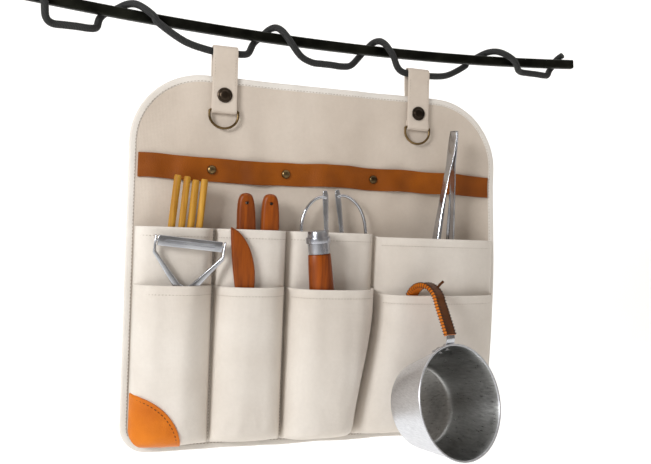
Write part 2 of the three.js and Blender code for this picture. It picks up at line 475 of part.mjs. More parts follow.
// folding knife: handle, collar, lock ring, pin, and a blade folded into the handle's right side
const knife = stand(2.6, 48, 14.1 + KNIFE_THICKNESS / 2, -6.7, 2);
const oval = (geometry) => geometry.scale(1, KNIFE_THICKNESS / 27, 1);
const kl = KNIFE_LENGTH, collarTop = kl + GAP + 13;
const slotCut = (from, to) => centred(outline([[-4, from], [40, from], [40, to], [-4, to]]), KNIFE_SLOT);
piece('knife_handle', cut(oval(turnedUp([[0, 0], [9, 0], [12.5, 8], [13.5, 40], [13.2, 90],
  [12, kl - 12], [11.4, kl], [0, kl]], 20)), slotCut(12, kl + 10)), brownWood, knife);
piece('knife_collar', cut(turnedUp([[0, kl + GAP], [10.8, kl + GAP], [11, kl + 10],
  [10.4, collarTop + 9], [9.4, collarTop + 10], [0, collarTop + 10]], 20),
slotCut(kl - 5, collarTop + 20),
turned([[0, -20], [1.5 + GAP, -20], [1.5 + GAP, 20], [0, 20]], 10).translate(0, 0, kl + 6)), steel, knife);
piece('knife_pivot', turned([[0, -8], [1.5, -8], [1.5, 8], [0, 8]], 10).translate(0, 0, kl + 6), steel, knife);
piece('knife_lock_ring', cut(turnedUp([[11.3, kl + 11], [12.4, kl + 11.6], [12.4, kl + 17], [11.3, kl + 17.6],
  [11.3, kl + 11]], 24), slotCut(kl, kl + 40)), steel, knife);
piece('knife_blade', cut(centred(outline([
  [0.5, kl + 11], [5, kl + 11.5], [9, kl + 4], [13.2, kl - 20], [14.2, kl - 60], [13, kl - 92], [6, kl - 112],
  [3, kl - 108], [2, kl - 50], [-0.4, kl - 4], [-0.4, kl + 9]]), 2),
turned([[0, -9], [1.5 + GAP, -9], [1.5 + GAP, 9], [0, 9]], 10).translate(0, 0, kl + 6)), steel, knife);

// ---------------------------------------------------------------- cup
// Local frame: Z is the cup's axis with the mouth at 0 and the base at -CUP_DEPTH, X runs up the
// side that carries the hooked handle.
const cup = new THREE.Group();
const cupTurn = THREE.MathUtils.degToRad(18.3), cupTilt = THREE.MathUtils.degToRad(15);
const mouth = new THREE.Vector3(Math.sin(cupTurn) * Math.cos(cupTilt),
  -Math.cos(cupTurn) * Math.cos(cupTilt), Math.sin(cupTilt));
const upSide = new THREE.Vector3(0, 0, 1).addScaledVector(mouth, -mouth.z).normalize();
cup.matrix.makeBasis(upSide, new THREE.Vector3().crossVectors(mouth, upSide), mouth);
cup.matrix.setPosition(108.1, -105.5, -HANG - 308.1);
cup.matrix.decompose(cup.position, cup.quaternion, cup.scale);
part.add(cup);
const inner = CUP_RIM - CUP_WALL;
const lean = (CUP_RIM - CUP_BASE) / CUP_DEPTH;
const wallAt = (z) => CUP_RIM + z * lean;                         // outside radius at height z
piece('cup_bowl', cut(turnedUp([
  [0, -CUP_DEPTH], [CUP_BASE - 4, -CUP_DEPTH], [wallAt(-CUP_DEPTH + 4), -CUP_DEPTH + 4],
  [wallAt(-1.6), -1.6], [CUP_RIM + 1, -1.6], [CUP_RIM + 1, 0], [inner, 0], [inner, -1.4],
  [wallAt(-CUP_DEPTH + 4) - CUP_WALL, -CUP_DEPTH + 4], [CUP_BASE - 5, -CUP_DEPTH + CUP_WALL],
  [0, -CUP_DEPTH + CUP_WALL]], 36),
...[-9, -19].map((z) => turnedUp([[0, -8], [1.6 + GAP, -8], [1.6 + GAP, 8], [0, 8]], 10)
  .rotateY(Math.PI / 2).translate(wallAt(z) - 1, 0, z))), aluminium, cup);

// The handle: a strip riveted to the wall, which rises past the rim and hooks back over the pocket.
const flatWall = (z) => wallAt(z) + 0.8 + HOOK_SHEET / 2;
const hookTop = 118, hookRound = 21.6;
const hookLine = [
  [flatWall(-24), -24], [flatWall(-6), -6], [flatWall(-6) + 3.2, -2.6], [flatWall(-6) + 9, -1.4],
  [82, -5], [hookTop - hookRound, -8],
  ...arc(hookTop - hookRound, -8 - hookRound, hookRound, 75, -90, 11),
  [hookTop - hookRound - 7, -8 - 2 * hookRound - 2.4]];
const alongCup = (shape, width) => centred(shape, width);
piece('cup_handle', cut(alongCup(ribbon(hookLine, HOOK_SHEET), HOOK_WIDTH),
  ...[-9, -19].map((z) => turnedUp([[0, -8], [1.6 + GAP, -8], [1.6 + GAP, 8], [0, 8]], 10)
    .rotateY(Math.PI / 2).translate(wallAt(z) + 1, 0, z))), steel, cup);
piece('cup_handle_wrap', cut(
  alongCup(ribbon(hookLine.slice(3, -1), HOOK_SHEET + 2 * (WRAP_COVER + GAP)), HOOK_WIDTH + 2 * (WRAP_COVER + GAP)),
  alongCup(ribbon(hookLine.slice(2), HOOK_SHEET + 2 * GAP), HOOK_WIDTH + 2 * GAP)), orangeLeather, cup);
// a rivet's heads clear the sloping wall and strap
const headIn = (z) => wallAt(z) - CUP_WALL - 0.24 - 3 * lean;
const headOut = (z) => flatWall(z) + HOOK_SHEET / 2 + 0.34 + 3 * lean;
[-9, -19].forEach((z, i) => piece(`cup_rivet_${i + 1}`, turnedUp([
  [0, headIn(z) - 0.7], [3, headIn(z) - 0.4], [3, headIn(z)], [1.6, headIn(z)],
  [1.6, headOut(z)], [3, headOut(z)], [2.6, headOut(z) + 1], [0, headOut(z) + 1.4]], 10).rotateY(Math.PI / 2).translate(0, 0, z), steel, cup));

export default part;
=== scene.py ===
# %% [markdown]
# # A canvas pocket organiser on a laced rail
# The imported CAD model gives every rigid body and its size. This file gives the parts their looks:
# cloth and leather as thin shaped sheets, wood and metal with soft edges, and materials made of
# procedural textures. Depths below the panel's top edge are called p, in millimetres.

# %% Load the frame
import bpy, bmesh, math
from mathutils import Vector, Matrix, noise
from mathutils.geometry import tessellate_polygon


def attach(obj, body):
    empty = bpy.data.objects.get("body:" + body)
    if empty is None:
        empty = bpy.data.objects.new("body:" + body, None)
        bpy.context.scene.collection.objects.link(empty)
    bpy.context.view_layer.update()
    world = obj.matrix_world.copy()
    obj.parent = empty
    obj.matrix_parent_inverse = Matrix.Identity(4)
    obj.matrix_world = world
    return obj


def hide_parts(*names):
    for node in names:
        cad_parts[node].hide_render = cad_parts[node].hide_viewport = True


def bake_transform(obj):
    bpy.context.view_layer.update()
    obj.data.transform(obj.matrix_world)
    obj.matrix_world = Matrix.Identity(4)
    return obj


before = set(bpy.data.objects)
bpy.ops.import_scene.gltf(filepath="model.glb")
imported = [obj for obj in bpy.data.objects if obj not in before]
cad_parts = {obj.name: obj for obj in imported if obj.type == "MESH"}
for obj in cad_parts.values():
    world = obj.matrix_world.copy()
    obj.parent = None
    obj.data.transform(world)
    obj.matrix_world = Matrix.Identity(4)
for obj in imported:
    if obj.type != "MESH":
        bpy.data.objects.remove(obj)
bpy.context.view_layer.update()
HANG = 44.0                 # rail's middle down to the panel's top edge


def at(x, p, forward=0.0):
    """A point from millimetres right of centre, below the panel's top and towards the viewer."""
    return Vector((x, -forward, -HANG - p)) / 1000


# %% [markdown]
# ## Camera
# The camera stands to the left of the object and a little below the rail, turned right.

# %% Camera
EYE = (-0.2306, -0.6951, -0.1983)
YAW, PITCH, ROLL = 18.41, 0.29, 1.91
SENSOR, LENS = 36, 38.71             # millimetres


def aim(yaw, pitch, roll):
    """The camera's turn, from degrees to the right, up and clockwise."""
    y, t, r = (math.radians(a) for a in (yaw, pitch, roll))
    ahead = Vector((math.sin(y) * math.cos(t), math.cos(y) * math.cos(t), math.sin(t)))
    right = Vector((math.cos(y), -math.sin(y), 0))
    up = right.cross(ahead)
    right, up = right * math.cos(r) + up * math.sin(r), up * math.cos(r) - right * math.sin(r)
    return Matrix((right, up, -ahead)).transposed()


camera = bpy.data.objects.new("camera", bpy.data.cameras.new("camera"))
camera.data.sensor_width, camera.data.lens = SENSOR, LENS
camera.matrix_world = Matrix.Translation(EYE) @ aim(YAW, PITCH, ROLL).to_4x4()
bpy.context.collection.objects.link(camera)
bpy.context.scene.camera = camera
print("camera with a", LENS, "mm lens")

# %% [markdown]
# ## Materials
# Each material mixes colours with noise and gets its relief from the same scale of detail that the
# real surface has: a 0.7 mm weave, leather grain, brushed metal, wood fibres.

# %% Material helpers
def new_material(name):
    """A material, its tree and its shader."""
    m = bpy.data.materials.new(name)
    m.use_nodes = True
    return m, m.node_tree, m.node_tree.nodes["Principled BSDF"]


def node(tree, kind, **inputs):
    """A node with some of its inputs set."""
    n = tree.nodes.new(kind)
    for key, value in inputs.items():
        key = key.replace("_", " ")
        if key in n.inputs:
            n.inputs[key].default_value = value
    return n


def coords(tree, scale=(1, 1, 1)):
    """The object's own coordinates, stretched by a scale."""
    c = tree.nodes.new("ShaderNodeTexCoord")
    m = tree.nodes.new("ShaderNodeMapping")
    m.inputs["Scale"].default_value = scale
    tree.links.new(c.outputs["Object"], m.inputs["Vector"])
    return m.outputs["Vector"]


def noise_of(tree, scale, detail=4, where=None, rough=0.55):
    n = node(tree, "ShaderNodeTexNoise", Scale=scale, Detail=detail, Roughness=rough)
    if where is not None:
        tree.links.new(where, n.inputs["Vector"])
    return n.outputs["Fac"]


print("coordinates and noise are ready")

# %% [markdown]
# Ramps turn that noise into tones, and a bump turns it into relief. Sharing one noise between them
# keeps the dark places and the low places together, as dirt and wear do on a used thing.

# %% Tones and relief
def ramp(tree, value, stops):
    """A value turned into a colour by (place, colour) stops."""
    r = tree.nodes.new("ShaderNodeValToRGB")
    while len(r.color_ramp.elements) < len(stops):
        r.color_ramp.elements.new(0.5)
    for e, (at_, colour) in zip(r.color_ramp.elements, stops):
        e.position, e.color = at_, (*colour, 1)
    tree.links.new(value, r.inputs["Fac"])
    return r.outputs["Color"]


def maths(tree, operation, a, b=0.0):
    m = tree.nodes.new("ShaderNodeMath")
    m.operation = operation
    for i, v in enumerate((a, b)):
        if hasattr(v, "links"):
            tree.links.new(v, m.inputs[i])
        else:
            m.inputs[i].default_value = v
    return m.outputs[0]


def relief(tree, shader, height, strength, distance):
    """A bump of the shader's surface by a height."""
    b = node(tree, "ShaderNodeBump", Strength=strength, Distance=distance)
    tree.links.new(height, b.inputs["Height"])
    tree.links.new(b.outputs["Normal"], shader.inputs["Normal"])


def mix(tree, fac, a, b):
    """Colour a with a share of colour b."""
    m = tree.nodes.new("ShaderNodeMix")
    m.data_type = "RGBA"
    for v, key in ((fac, 0), (a, 6), (b, 7)):
        if hasattr(v, "links"):
            tree.links.new(v, m.inputs[key])
        else:
            m.inputs[key].default_value = v if key == 0 else (*v, 1)
    return m.outputs[2]


print("ramps, mixes and bumps are ready")

# %% [markdown]
# Woven cloth, hide and braided cord are made alike: slow noise mixes two tones, and the relief comes
# from the thing's own pattern, which is crossed threads for cloth, pebbled cells for leather and
# slanting strands for the cord. A picture of real cloth would repeat itself, and noise doesn't.

# %% Cloth, leather and cord
def cloth(name, light, dark, weave=1500):
    m, t, s = new_material(name)
    where = coords(t)
    stain = noise_of(t, 9, 3, where)
    fleck = noise_of(t, 260, 2, where)
    base = ramp(t, stain, [(0.3, dark), (0.7, light)])
    t.links.new(mix(t, maths(t, "MULTIPLY", fleck, 0.16), base, tuple(c * 0.6 for c in dark)),
                s.inputs["Base Color"])
    s.inputs["Roughness"].default_value = 0.92
    s.inputs["Specular IOR Level"].default_value = 0.2
    threads = None
    for axis in ("X", "Z"):
        w = node(t, "ShaderNodeTexWave", Scale=weave / 6.28, Distortion=0.6, Detail=1.0)
        w.bands_direction = axis
        t.links.new(where, w.inputs["Vector"])
        threads = w.outputs["Fac"] if threads is None else maths(t, "MAXIMUM", threads, w.outputs["Fac"])
    rough = maths(t, "ADD", maths(t, "MULTIPLY", threads, 0.5), noise_of(t, 120, 3, where))
    relief(t, s, rough, 0.5, 0.0004)
    return m


def leather(name, light, dark, wave=30):
    m, t, s = new_material(name)
    where = coords(t)
    tone = noise_of(t, wave, 3, where)
    cells = node(t, "ShaderNodeTexVoronoi", Scale=900)
    t.links.new(where, cells.inputs["Vector"])
    t.links.new(ramp(t, tone, [(0.28, dark), (0.72, light)]), s.inputs["Base Color"])
    t.links.new(ramp(t, noise_of(t, 60, 2, where), [(0.3, (0.38,) * 3), (0.8, (0.6,) * 3)]),
                s.inputs["Roughness"])
    s.inputs["Specular IOR Level"].default_value = 0.22
    relief(t, s, maths(t, "ADD", cells.outputs["Distance"], noise_of(t, 70, 4, where)), 0.35, 0.0004)
    return m


def braid(name, colour):
    m, t, s = new_material(name)
    where = coords(t)
    w = node(t, "ShaderNodeTexWave", Scale=260, Distortion=2.5, Detail=1)
    w.bands_direction = "DIAGONAL"
    t.links.new(where, w.inputs["Vector"])
    t.links.new(ramp(t, w.outputs["Fac"], [(0.2, tuple(c * 0.4 for c in colour)), (0.9, colour)]),
                s.inputs["Base Color"])
    s.inputs["Roughness"].default_value = 0.75
    relief(t, s, w.outputs["Fac"], 0.6, 0.0005)
    return m


print("cloth, leather and braid are ready")

# %% [markdown]
# Metal has a fine grain that changes its gloss as well as its colour, and brushing pulls that grain
# out in one direction. Wood has long fibres over broad bands. Both are noise in stretched
# coordinates, because a painted picture would need every piece unwrapped.

# %% Metal and wood
def metal(name, light, dark, rough=(0.2, 0.4), brush=None, bumps=0.15):
    m, t, s = new_material(name)
    where = coords(t, brush or (1, 1, 1))
    grain = noise_of(t, 160 if brush else 45, 4, where)
    t.links.new(ramp(t, grain, [(0.3, dark), (0.7, light)]), s.inputs["Base Color"])
    t.links.new(ramp(t, grain, [(0.2, (rough[0],) * 3), (0.8, (rough[1],) * 3)]), s.inputs["Roughness"])
    s.inputs["Metallic"].default_value = 1.0
    relief(t, s, grain, bumps, 0.0002)
    return m


def wood(name, light, dark, stretch=(1, 1, 0.06), scale=260, gloss=0.4):
    m, t, s = new_material(name)
    where = coords(t, stretch)
    fibre = noise_of(t, scale, 5, where, 0.65)
    broad = noise_of(t, scale / 5, 2, where)
    t.links.new(ramp(t, maths(t, "ADD", maths(t, "MULTIPLY", fibre, 0.6), maths(t, "MULTIPLY", broad, 0.4)),
                     [(0.35, dark), (0.62, light)]), s.inputs["Base Color"])
    s.inputs["Roughness"].default_value = gloss
    s.inputs["Specular IOR Level"].default_value = 0.3
    relief(t, s, fibre, 0.25, 0.0002)
    return m


print("metal and wood are ready")

# %% [markdown]
# All finishes in one table. The canvas is unbleached and the pocket cloth a shade lighter, the
# leathers are tan and orange, and the fittings are old brass, dark snaps and polished steel. Each
# finish has a light and a dark tone, since nothing on a used object has one colour.

# %% Finishes
MAT = {
    "canvas": cloth("canvas", (0.67, 0.585, 0.50), (0.55, 0.465, 0.385)),
    "pocket_canvas": cloth("pocket_canvas", (0.79, 0.735, 0.67), (0.66, 0.595, 0.525)),
    "binding": cloth("binding_tape", (0.82, 0.775, 0.72), (0.69, 0.635, 0.57), 1900),
    "thread": cloth("thread", (0.50, 0.44, 0.37), (0.38, 0.32, 0.26), 3000),
    "tan": leather("tan_leather", (0.33, 0.085, 0.003), (0.15, 0.034, 0.001), 14),
    "orange": leather("orange_leather", (0.70, 0.195, 0.008), (0.50, 0.115, 0.004), 26),
    # near black: the dark thread of the stitches, and the painted shade inside the handles' holes
    "dark_thread_and_shade": leather("dark_thread_and_shade", (0.05, 0.02, 0.008), (0.02, 0.008, 0.004), 200),
    "black": metal("black_metal", (0.02, 0.02, 0.015), (0.006, 0.006, 0.005), (0.38, 0.6), None, 0.3),
    "dark_leather": leather("dark_leather", (0.11, 0.032, 0.004), (0.05, 0.013, 0.002), 40),
    "cord": braid("black_cord", (0.016, 0.016, 0.015)),
    "brass": metal("antique_brass", (0.30, 0.20, 0.09), (0.07, 0.045, 0.022), (0.25, 0.45)),
    "snap": metal("dark_snap", (0.07, 0.05, 0.035), (0.02, 0.016, 0.012), (0.25, 0.45)),
    "steel": metal("polished_steel", (0.62, 0.63, 0.66), (0.42, 0.43, 0.46), (0.12, 0.26), None, 0.05),
    "collar": metal("brushed_collar", (0.6, 0.6, 0.63), (0.32, 0.33, 0.37), (0.2, 0.4)),
    "cup": metal("brushed_aluminium", (0.78, 0.79, 0.82), (0.58, 0.59, 0.62), (0.34, 0.5), (1, 1, 9)),
    # the same aluminium, darker for the inside of the bowl: painted shade
    "cup_inside": metal("painted_shade_inside", (0.53, 0.53, 0.52), (0.38, 0.38, 0.375), (0.24, 0.38), (1, 1, 4)),
    "bamboo": wood("bamboo", (0.60, 0.32, 0.04), (0.34, 0.145, 0.008), (1, 1, 0.05), 300, 0.55),
    "red_wood": wood("red_wood", (0.31, 0.066, 0.001), (0.11, 0.019, 0.0005)),
    "brown_wood": wood("brown_wood", (0.34, 0.07, 0.001), (0.13, 0.022, 0.0005)),
}
print(len(MAT), "finishes")

# %% [markdown]
# ## Shaping helpers
# Every piece is a mesh whose points are already in the CAD model's frame, so its object stays at the
# origin. Sharp edges are marked by angle, so that flats stay flat and curves stay smooth.

# %% Shaping helpers
def give(name, verts, faces, material, body, *replaced):
    """A smooth-shaded piece that rides on a body and stands for CAD nodes."""
    mesh = bpy.data.meshes.new(name)
    mesh.from_pydata([tuple(v) for v in verts], [], faces)
    obj = bpy.data.objects.new(name, mesh)
    bpy.context.collection.objects.link(obj)
    mesh.materials.append(MAT[material])
    bm = bmesh.new()
    bm.from_mesh(mesh)
    bmesh.ops.remove_doubles(bm, verts=bm.verts, dist=1e-6)
    bmesh.ops.recalc_face_normals(bm, faces=bm.faces)
    bm.to_mesh(mesh)
    bm.free()
    for poly in mesh.polygons:
        poly.use_smooth = True
    mesh.set_sharp_from_angle(angle=math.radians(38))
    if body:
        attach(obj, body)
    if replaced:
        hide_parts(*replaced)
    return obj


def modify(obj, kind, **settings):
    mod = obj.modifiers.new(kind.lower(), kind)
    for key, value in settings.items():
        setattr(mod, key, value)
    return mod


def thicken(obj, thick, soften=None):
    """A sheet given its thickness, half to each side, and soft edges; in millimetres."""
    modify(obj, "SOLIDIFY", thickness=thick / 1000, offset=0, use_even_offset=True)
    if soften:
        modify(obj, "BEVEL", width=soften / 1000, segments=2, limit_method="ANGLE", angle_limit=0.9)


print("pieces go into", bpy.context.collection.name)

# %% [markdown]
# A sheet of cloth or hide is easiest to steer when its points are given row by row, each where the
# sheet really hangs. A cloth simulation could find those places too, but here tools hold the
# pockets open and the seams fix their edges, so the shape is known and is written down directly.

# %% Sheets
def grid(rows):
    """A sheet from points given row by row."""
    n = len(rows[0])
    verts = [v for row in rows for v in row]
    faces = [(i * n + j, i * n + j + 1, (i + 1) * n + j + 1, (i + 1) * n + j)
             for i in range(len(rows) - 1) for j in range(n - 1)]
    return verts, faces


print("a sheet of 3 by 4 points has", len(grid([[0] * 4] * 3)[1]), "faces")

# %% [markdown]
# Rivets, snaps, pins, chopsticks and the cup are round. Spinning half of their outline round an axis
# keeps every wall even, as a lathe does, and a new radius needs one number.

# %% Turned pieces
def mesh_of(bm):
    """A bmesh's points and faces, once it is finished."""
    bm.verts.index_update()
    verts = [v.co.copy() for v in bm.verts]
    faces = [[v.index for v in f.verts] for f in bm.faces]
    bm.free()
    return verts, faces


def turned(profile, steps=48):
    """A profile of (radius, height) spun round Z and closed where it meets the axis."""
    bm = bmesh.new()
    line = [bm.verts.new((r, 0, h)) for r, h in profile]
    edges = [bm.edges.new(pair) for pair in zip(line, line[1:])]
    bmesh.ops.spin(bm, geom=line + edges, cent=(0, 0, 0), axis=(0, 0, 1), dvec=(0, 0, 0),
                   angle=math.tau, steps=steps, use_merge=True, use_duplicate=False)
    bmesh.ops.remove_doubles(bm, verts=bm.verts, dist=1e-7)
    return mesh_of(bm)


print("a disc turned in 12 steps has", len(turned([(0, 0), (1, 0)], 12)[1]), "faces")

# %% [markdown]
# Blades, scissor plates and handles are cut from flat stock. Both faces are filled inside the
# outline but for its holes, walls join them, and a bevel breaks the outer edge as a file would.

# %% Plates
def extruded(outline, thickness, soft=0.0, holes=()):
    """A plate from an (x, z) outline and (x, z, radius) holes; soft rounds its outer edges."""
    drills = [[(x + r * a, z - r * b) for a, b in circle(1, 16)] for x, z, r in holes]
    loops = [list(outline)] + drills
    flat = [p for loop in loops for p in loop]
    bm = bmesh.new()
    sides = [[bm.verts.new((x, y, z)) for x, z in flat] for y in (-thickness / 2, thickness / 2)]
    for tri in tessellate_polygon([[Vector((x, z, 0)) for x, z in loop] for loop in loops]):
        if len({flat[k] for k in tri}) == 3:
            for side in sides:
                bm.faces.new([side[k] for k in tri])
    start, rim = 0, []
    for loop in loops:
        for k in range(len(loop)):
            i, j = start + k, start + (k + 1) % len(loop)
            bm.faces.new([sides[0][i], sides[0][j], sides[1][j], sides[1][i]])
            if start == 0:
                rim += [bm.edges.get((side[i], side[j])) for side in sides]
        start += len(loop)
    bmesh.ops.recalc_face_normals(bm, faces=bm.faces)
    if soft:
        bmesh.ops.bevel(bm, geom=[e for e in rim if e], offset=soft, segments=3, profile=0.5,
                        affect="EDGES", material=-1)
    return mesh_of(bm)


print("a square plate has", len(extruded([(0, 0), (1, 0), (1, 1), (0, 1)], 0.1)[0]), "points")

# %% [markdown]
# Wire, straps and the rail keep one section along their whole run. Rings of that section are set
# square to the run and skinned, which keeps a ribbon from twisting where a curve object might.

# %% Rods, ribbons and rings
def tube(rings, closed=False):
    """Walls from ring to ring, with flat ends unless the last ring meets the first."""
    n, m = len(rings), len(rings[0])
    verts = [v for ring in rings for v in ring]
    faces = [(i * m + j, (i + 1) % n * m + j, (i + 1) % n * m + (j + 1) % m, i * m + (j + 1) % m)
             for i in range(n if closed else n - 1) for j in range(m)]
    if not closed:
        faces += [tuple(range(m)), tuple((n - 1) * m + j for j in range(m))]
    return verts, faces


def sweep(points, section, closed=False, twist=None):
    """A section of (side, out) points carried along points; out is towards the viewer or the twist."""
    rings, n = [], len(points)
    for i, p in enumerate(points):
        a = points[i - 1] if i or closed else p
        b = points[(i + 1) % n] if i < n - 1 or closed else p
        along = (b - a).normalized()
        out = Vector((0, -1, 0)) if twist is None else twist[i]
        side = along.cross(out).normalized()
        out = side.cross(along).normalized()
        rings.append([p + side * s + out * o for s, o in section])
    return tube(rings, closed)


print("rods and ribbons are swept")

# %% [markdown]
# Sections and bends are short formulas instead of lists: a bar or ribbon is a rectangle with round
# corners, a wire is a circle and a bend is an arc.

# %% Sections and bends
def rounded(width, thickness, corner, steps=3):
    """The section of a flat bar or ribbon with rounded corners."""
    pts, flat, deep = [], width / 2 - corner, thickness / 2 - corner
    for sx, sy, start in ((1, 1, 0), (-1, 1, 90), (-1, -1, 180), (1, -1, 270)):
        for k in range(steps + 1):
            a = math.radians(start + 90 * k / steps)
            pts.append((sx * flat + corner * math.cos(a), sy * deep + corner * math.sin(a)))
    return pts


def halfway(low, high, share):
    """The value at a share of the way from low to high."""
    return low + (high - low) * share


def arc(cx, cy, r, start, end, n):
    """The n + 1 points of an arc from one angle to another, in degrees."""
    angles = [math.radians(start + (end - start) * k / n) for k in range(n + 1)]
    return [(cx + r * math.cos(a), cy + r * math.sin(a)) for a in angles]


def circle(radius, steps=10):
    turns = [math.tau * k / steps for k in range(steps)]
    return [(radius * math.cos(a), radius * math.sin(a)) for a in turns]


print("a ribbon's section has", len(rounded(25, 1.6, 0.7, 2)), "points")

# %% [markdown]
# A few chosen points and a smooth line through them describe a bent wire or a hook better than many
# points do. Catmull-Rom is used because the line passes through every point that was chosen.

# %% Smooth lines
def smooth_line(points, per=8, closed=False):
    """A Catmull-Rom line through points."""
    n, out = len(points), []
    for i in range(n if closed else n - 1):
        near = [(i + k) % n if closed else min(max(i + k, 0), n - 1) for k in (-1, 0, 1, 2)]
        a, b, c, d = (points[j] for j in near)
        for s in range(per):
            t = s / per
            bend, sway = 2 * a - 5 * b + 4 * c - d, 3 * b - a - 3 * c + d
            out.append(0.5 * (2 * b + (c - a) * t + bend * t * t + sway * t ** 3))
    if not closed:
        out.append(points[-1].copy())
    return out


print("a line through 3 points gets", len(smooth_line([Vector((x, 0, 0)) for x in range(3)])), "points")

# %% [markdown]
# A shape is placed by moving its points, so that the pieces need no transforms of their own, and a
# tool is given its finish's slot at once. Shapes that are one piece of metal are joined first.

# %% Placing pieces
FORWARD = Matrix.Rotation(math.pi / 2, 4, "X")       # turns a lathe's axis towards the viewer


def placed(verts, matrix):
    return [matrix @ v for v in verts]


def mm(points):
    """Points given in millimetres, in metres."""
    return [tuple(c / 1000 for c in p) for p in points]


def joined(*shapes):
    """Several shapes as one."""
    verts, faces = [], []
    for more_verts, more_faces in shapes:
        faces += [tuple(j + len(verts) for j in face) for face in more_faces]
        verts += more_verts
    return verts, faces


def tool(name, shape, where, material, body, node_name):
    verts, faces = shape
    obj = give(name, placed(verts, where), faces, material, body, node_name)
    return obj


print("a lathe's axis turned forward is", [round(v) for v in placed([Vector((0, 0, 1))], FORWARD)[0]])

# %% [markdown]
# Thread shows as short raised dashes. A bump pattern would vanish from a low angle, so each dash is
# a tiny lozenge of a few faces, set along the seam at the sewing machine's pitch.

# %% Stitches
def stitches(name, line, pitch, size, material, body, lift=Vector((0, -1, 0))):
    """Short raised threads laid end to end along a line; pitch and size are in millimetres."""
    pitch, size = pitch / 1000, size / 1000
    verts, faces, run, want = [], [], 0.0, pitch * 0.5
    for a, b in zip(line, line[1:]):
        step = (b - a).length
        while step > 0 and want <= run + step:
            c = a.lerp(b, (want - run) / step)
            u = (b - a).normalized() * size * 1.9
            v = lift.cross(u).normalized() * size * 0.55
            w = lift.normalized() * size * 0.5
            k = len(verts)
            verts += [c - u, c - u * 0.5 + v, c + u * 0.5 + v, c + u, c + u * 0.5 - v, c - u * 0.5 - v,
                      c - u * 0.4 + w, c + u * 0.4 + w, c - w * 0.6]
            faces += [(k, k + 1, k + 6), (k + 1, k + 2, k + 7, k + 6), (k + 2, k + 3, k + 7),
                      (k + 3, k + 4, k + 7), (k + 4, k + 5, k + 6, k + 7), (k + 5, k, k + 6)]
            faces += [(k + 8, k + (j + 1) % 6, k + j) for j in range(6)]
            want += pitch
        run += step
    return give(name, verts, faces, material, body)


print("stitches are ready")

# %% [markdown]
# ## Rail and lacing cord
# The rail is a bowed flat bar with rounded corners. The cord leaves its front, hangs in a slack
# loop, comes up behind and laps over the top, five times. Two of the loops carry the straps.

# %% The rail
RAIL_LENGTH, RAIL_HEIGHT, RAIL_DEPTH, RAIL_BOW = 600, 10, 8, 13.5
CORD = 7.0                  # the cord's thickness


def rail_z(x):
    return RAIL_BOW * (2 * x / RAIL_LENGTH) ** 2


half = RAIL_LENGTH // 2
line = [Vector((x, 0, rail_z(x))) / 1000 for x in range(-half, half + 1, 10)]
rail = give("rail_bar", *sweep(line, mm(rounded(RAIL_HEIGHT, RAIL_DEPTH, 1.8))), "black", "organiser", "rail")
print("rail", round((line[-1].x - line[0].x) * 1000), "mm long")

# %% [markdown]
# The lacing is one limp cord of about 7 mm. Each loop leaves the rail's front, rests where a strap
# or its own weight pulls it, and climbs the rail's back. Its points are chosen along that path and a
# curve object with a round bevel follows them, because a curve keeps an even thickness by itself.

# %% The cord's route
STRAP_X = {"left": -111, "right": 100}
STRAP_WIDTH = 25.0
# where each loop leaves the rail, its lowest point, how low that is, and where it reaches the rail again
LOOPS = [(-284, -256, 10.7, -226), (-182, STRAP_X["left"], 19, -76), (-50, -4, 19.5, 40),
         (62, STRAP_X["right"], 19, 168), (214, 247, 3, 282)]
LAP = math.hypot(RAIL_HEIGHT, RAIL_DEPTH) / 2 + CORD / 2 + 1


def lap(x, degrees):
    """A point of the cord on the rail, from 0 at its front over the top to 180 at its back."""
    t = math.radians(degrees)
    return Vector((x, -LAP * math.cos(t), rail_z(x) + LAP * math.sin(t)))


def cord_route():
    """The cord's middle line: over the rail, down its front into a loop and up its back, five times."""
    pts = []
    for i, (leave, low, drop, back) in enumerate(LOOPS):
        start = LOOPS[i - 1][3] if i else leave - 14
        for share, angle in ((0.22, 150), (0.42, 112), (0.6, 75), (0.78, 38)):
            pts.append(lap(start + (leave - start) * share, angle if i else min(angle, 90)))
        pts.append(lap(leave, 0))
        flat, zl, zb = STRAP_WIDTH / 2 + 4, rail_z(leave) - 6, rail_z(back) - 6
        pts.append(Vector((leave + 5, -LAP + 0.6, zl)))
        pts.append(Vector((halfway(leave, low - flat, 0.55), -LAP * 0.6, halfway(zl, -drop, 0.75))))
        pts += [Vector((low - flat, -LAP * 0.12, -drop)), Vector((low - flat / 3, 0, -drop)),
                Vector((low + flat / 3, 0, -drop)), Vector((low + flat, LAP * 0.12, -drop))]
        pts.append(Vector((halfway(back, low + flat, 0.55), LAP * 0.6, halfway(zb, -drop, 0.75))))
        pts.append(Vector((back - 5, LAP - 0.6, zb)))
        pts.append(lap(back, 180))
    for dx, angle in ((3, 140), (6, 95)):
        pts.append(lap(LOOPS[-1][3] + dx, angle))
    return smooth_line([p / 1000 for p in pts], 6)


route = cord_route()
curve = bpy.data.curves.new("lacing", "CURVE")
curve.dimensions, curve.bevel_depth, curve.bevel_resolution = "3D", CORD / 2000, 4
curve.use_fill_caps = True
spline = curve.splines.new("POLY")
spline.points.add(len(route) - 1)
for point, co in zip(spline.points, route):
    point.co = (*co, 1)
lacing = bpy.data.objects.new("lacing", curve)
curve.materials.append(MAT["cord"])
bpy.context.collection.objects.link(lacing)
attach(lacing, "organiser")
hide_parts("lacing_cord")

# %% [markdown]
# ## How the canvas hangs
# One function says where a point of the flat cloth ends up. Everything sewn to the panel uses it,
# so the binding, the band and the pockets follow the same folds.

# %% The hanging cloth
HALF, TALL = 200.0, 370.0            # the panel's half width and its height
R_TOP, R_FOOT = 70.0, 26.0           # the radii of its upper and lower corners


def bumps(x, p, width, tall, seed):
    """Smooth noise between about -1 and 1, with bumps of the given width and height."""
    return noise.noise(Vector((x / width, p / tall, seed)))


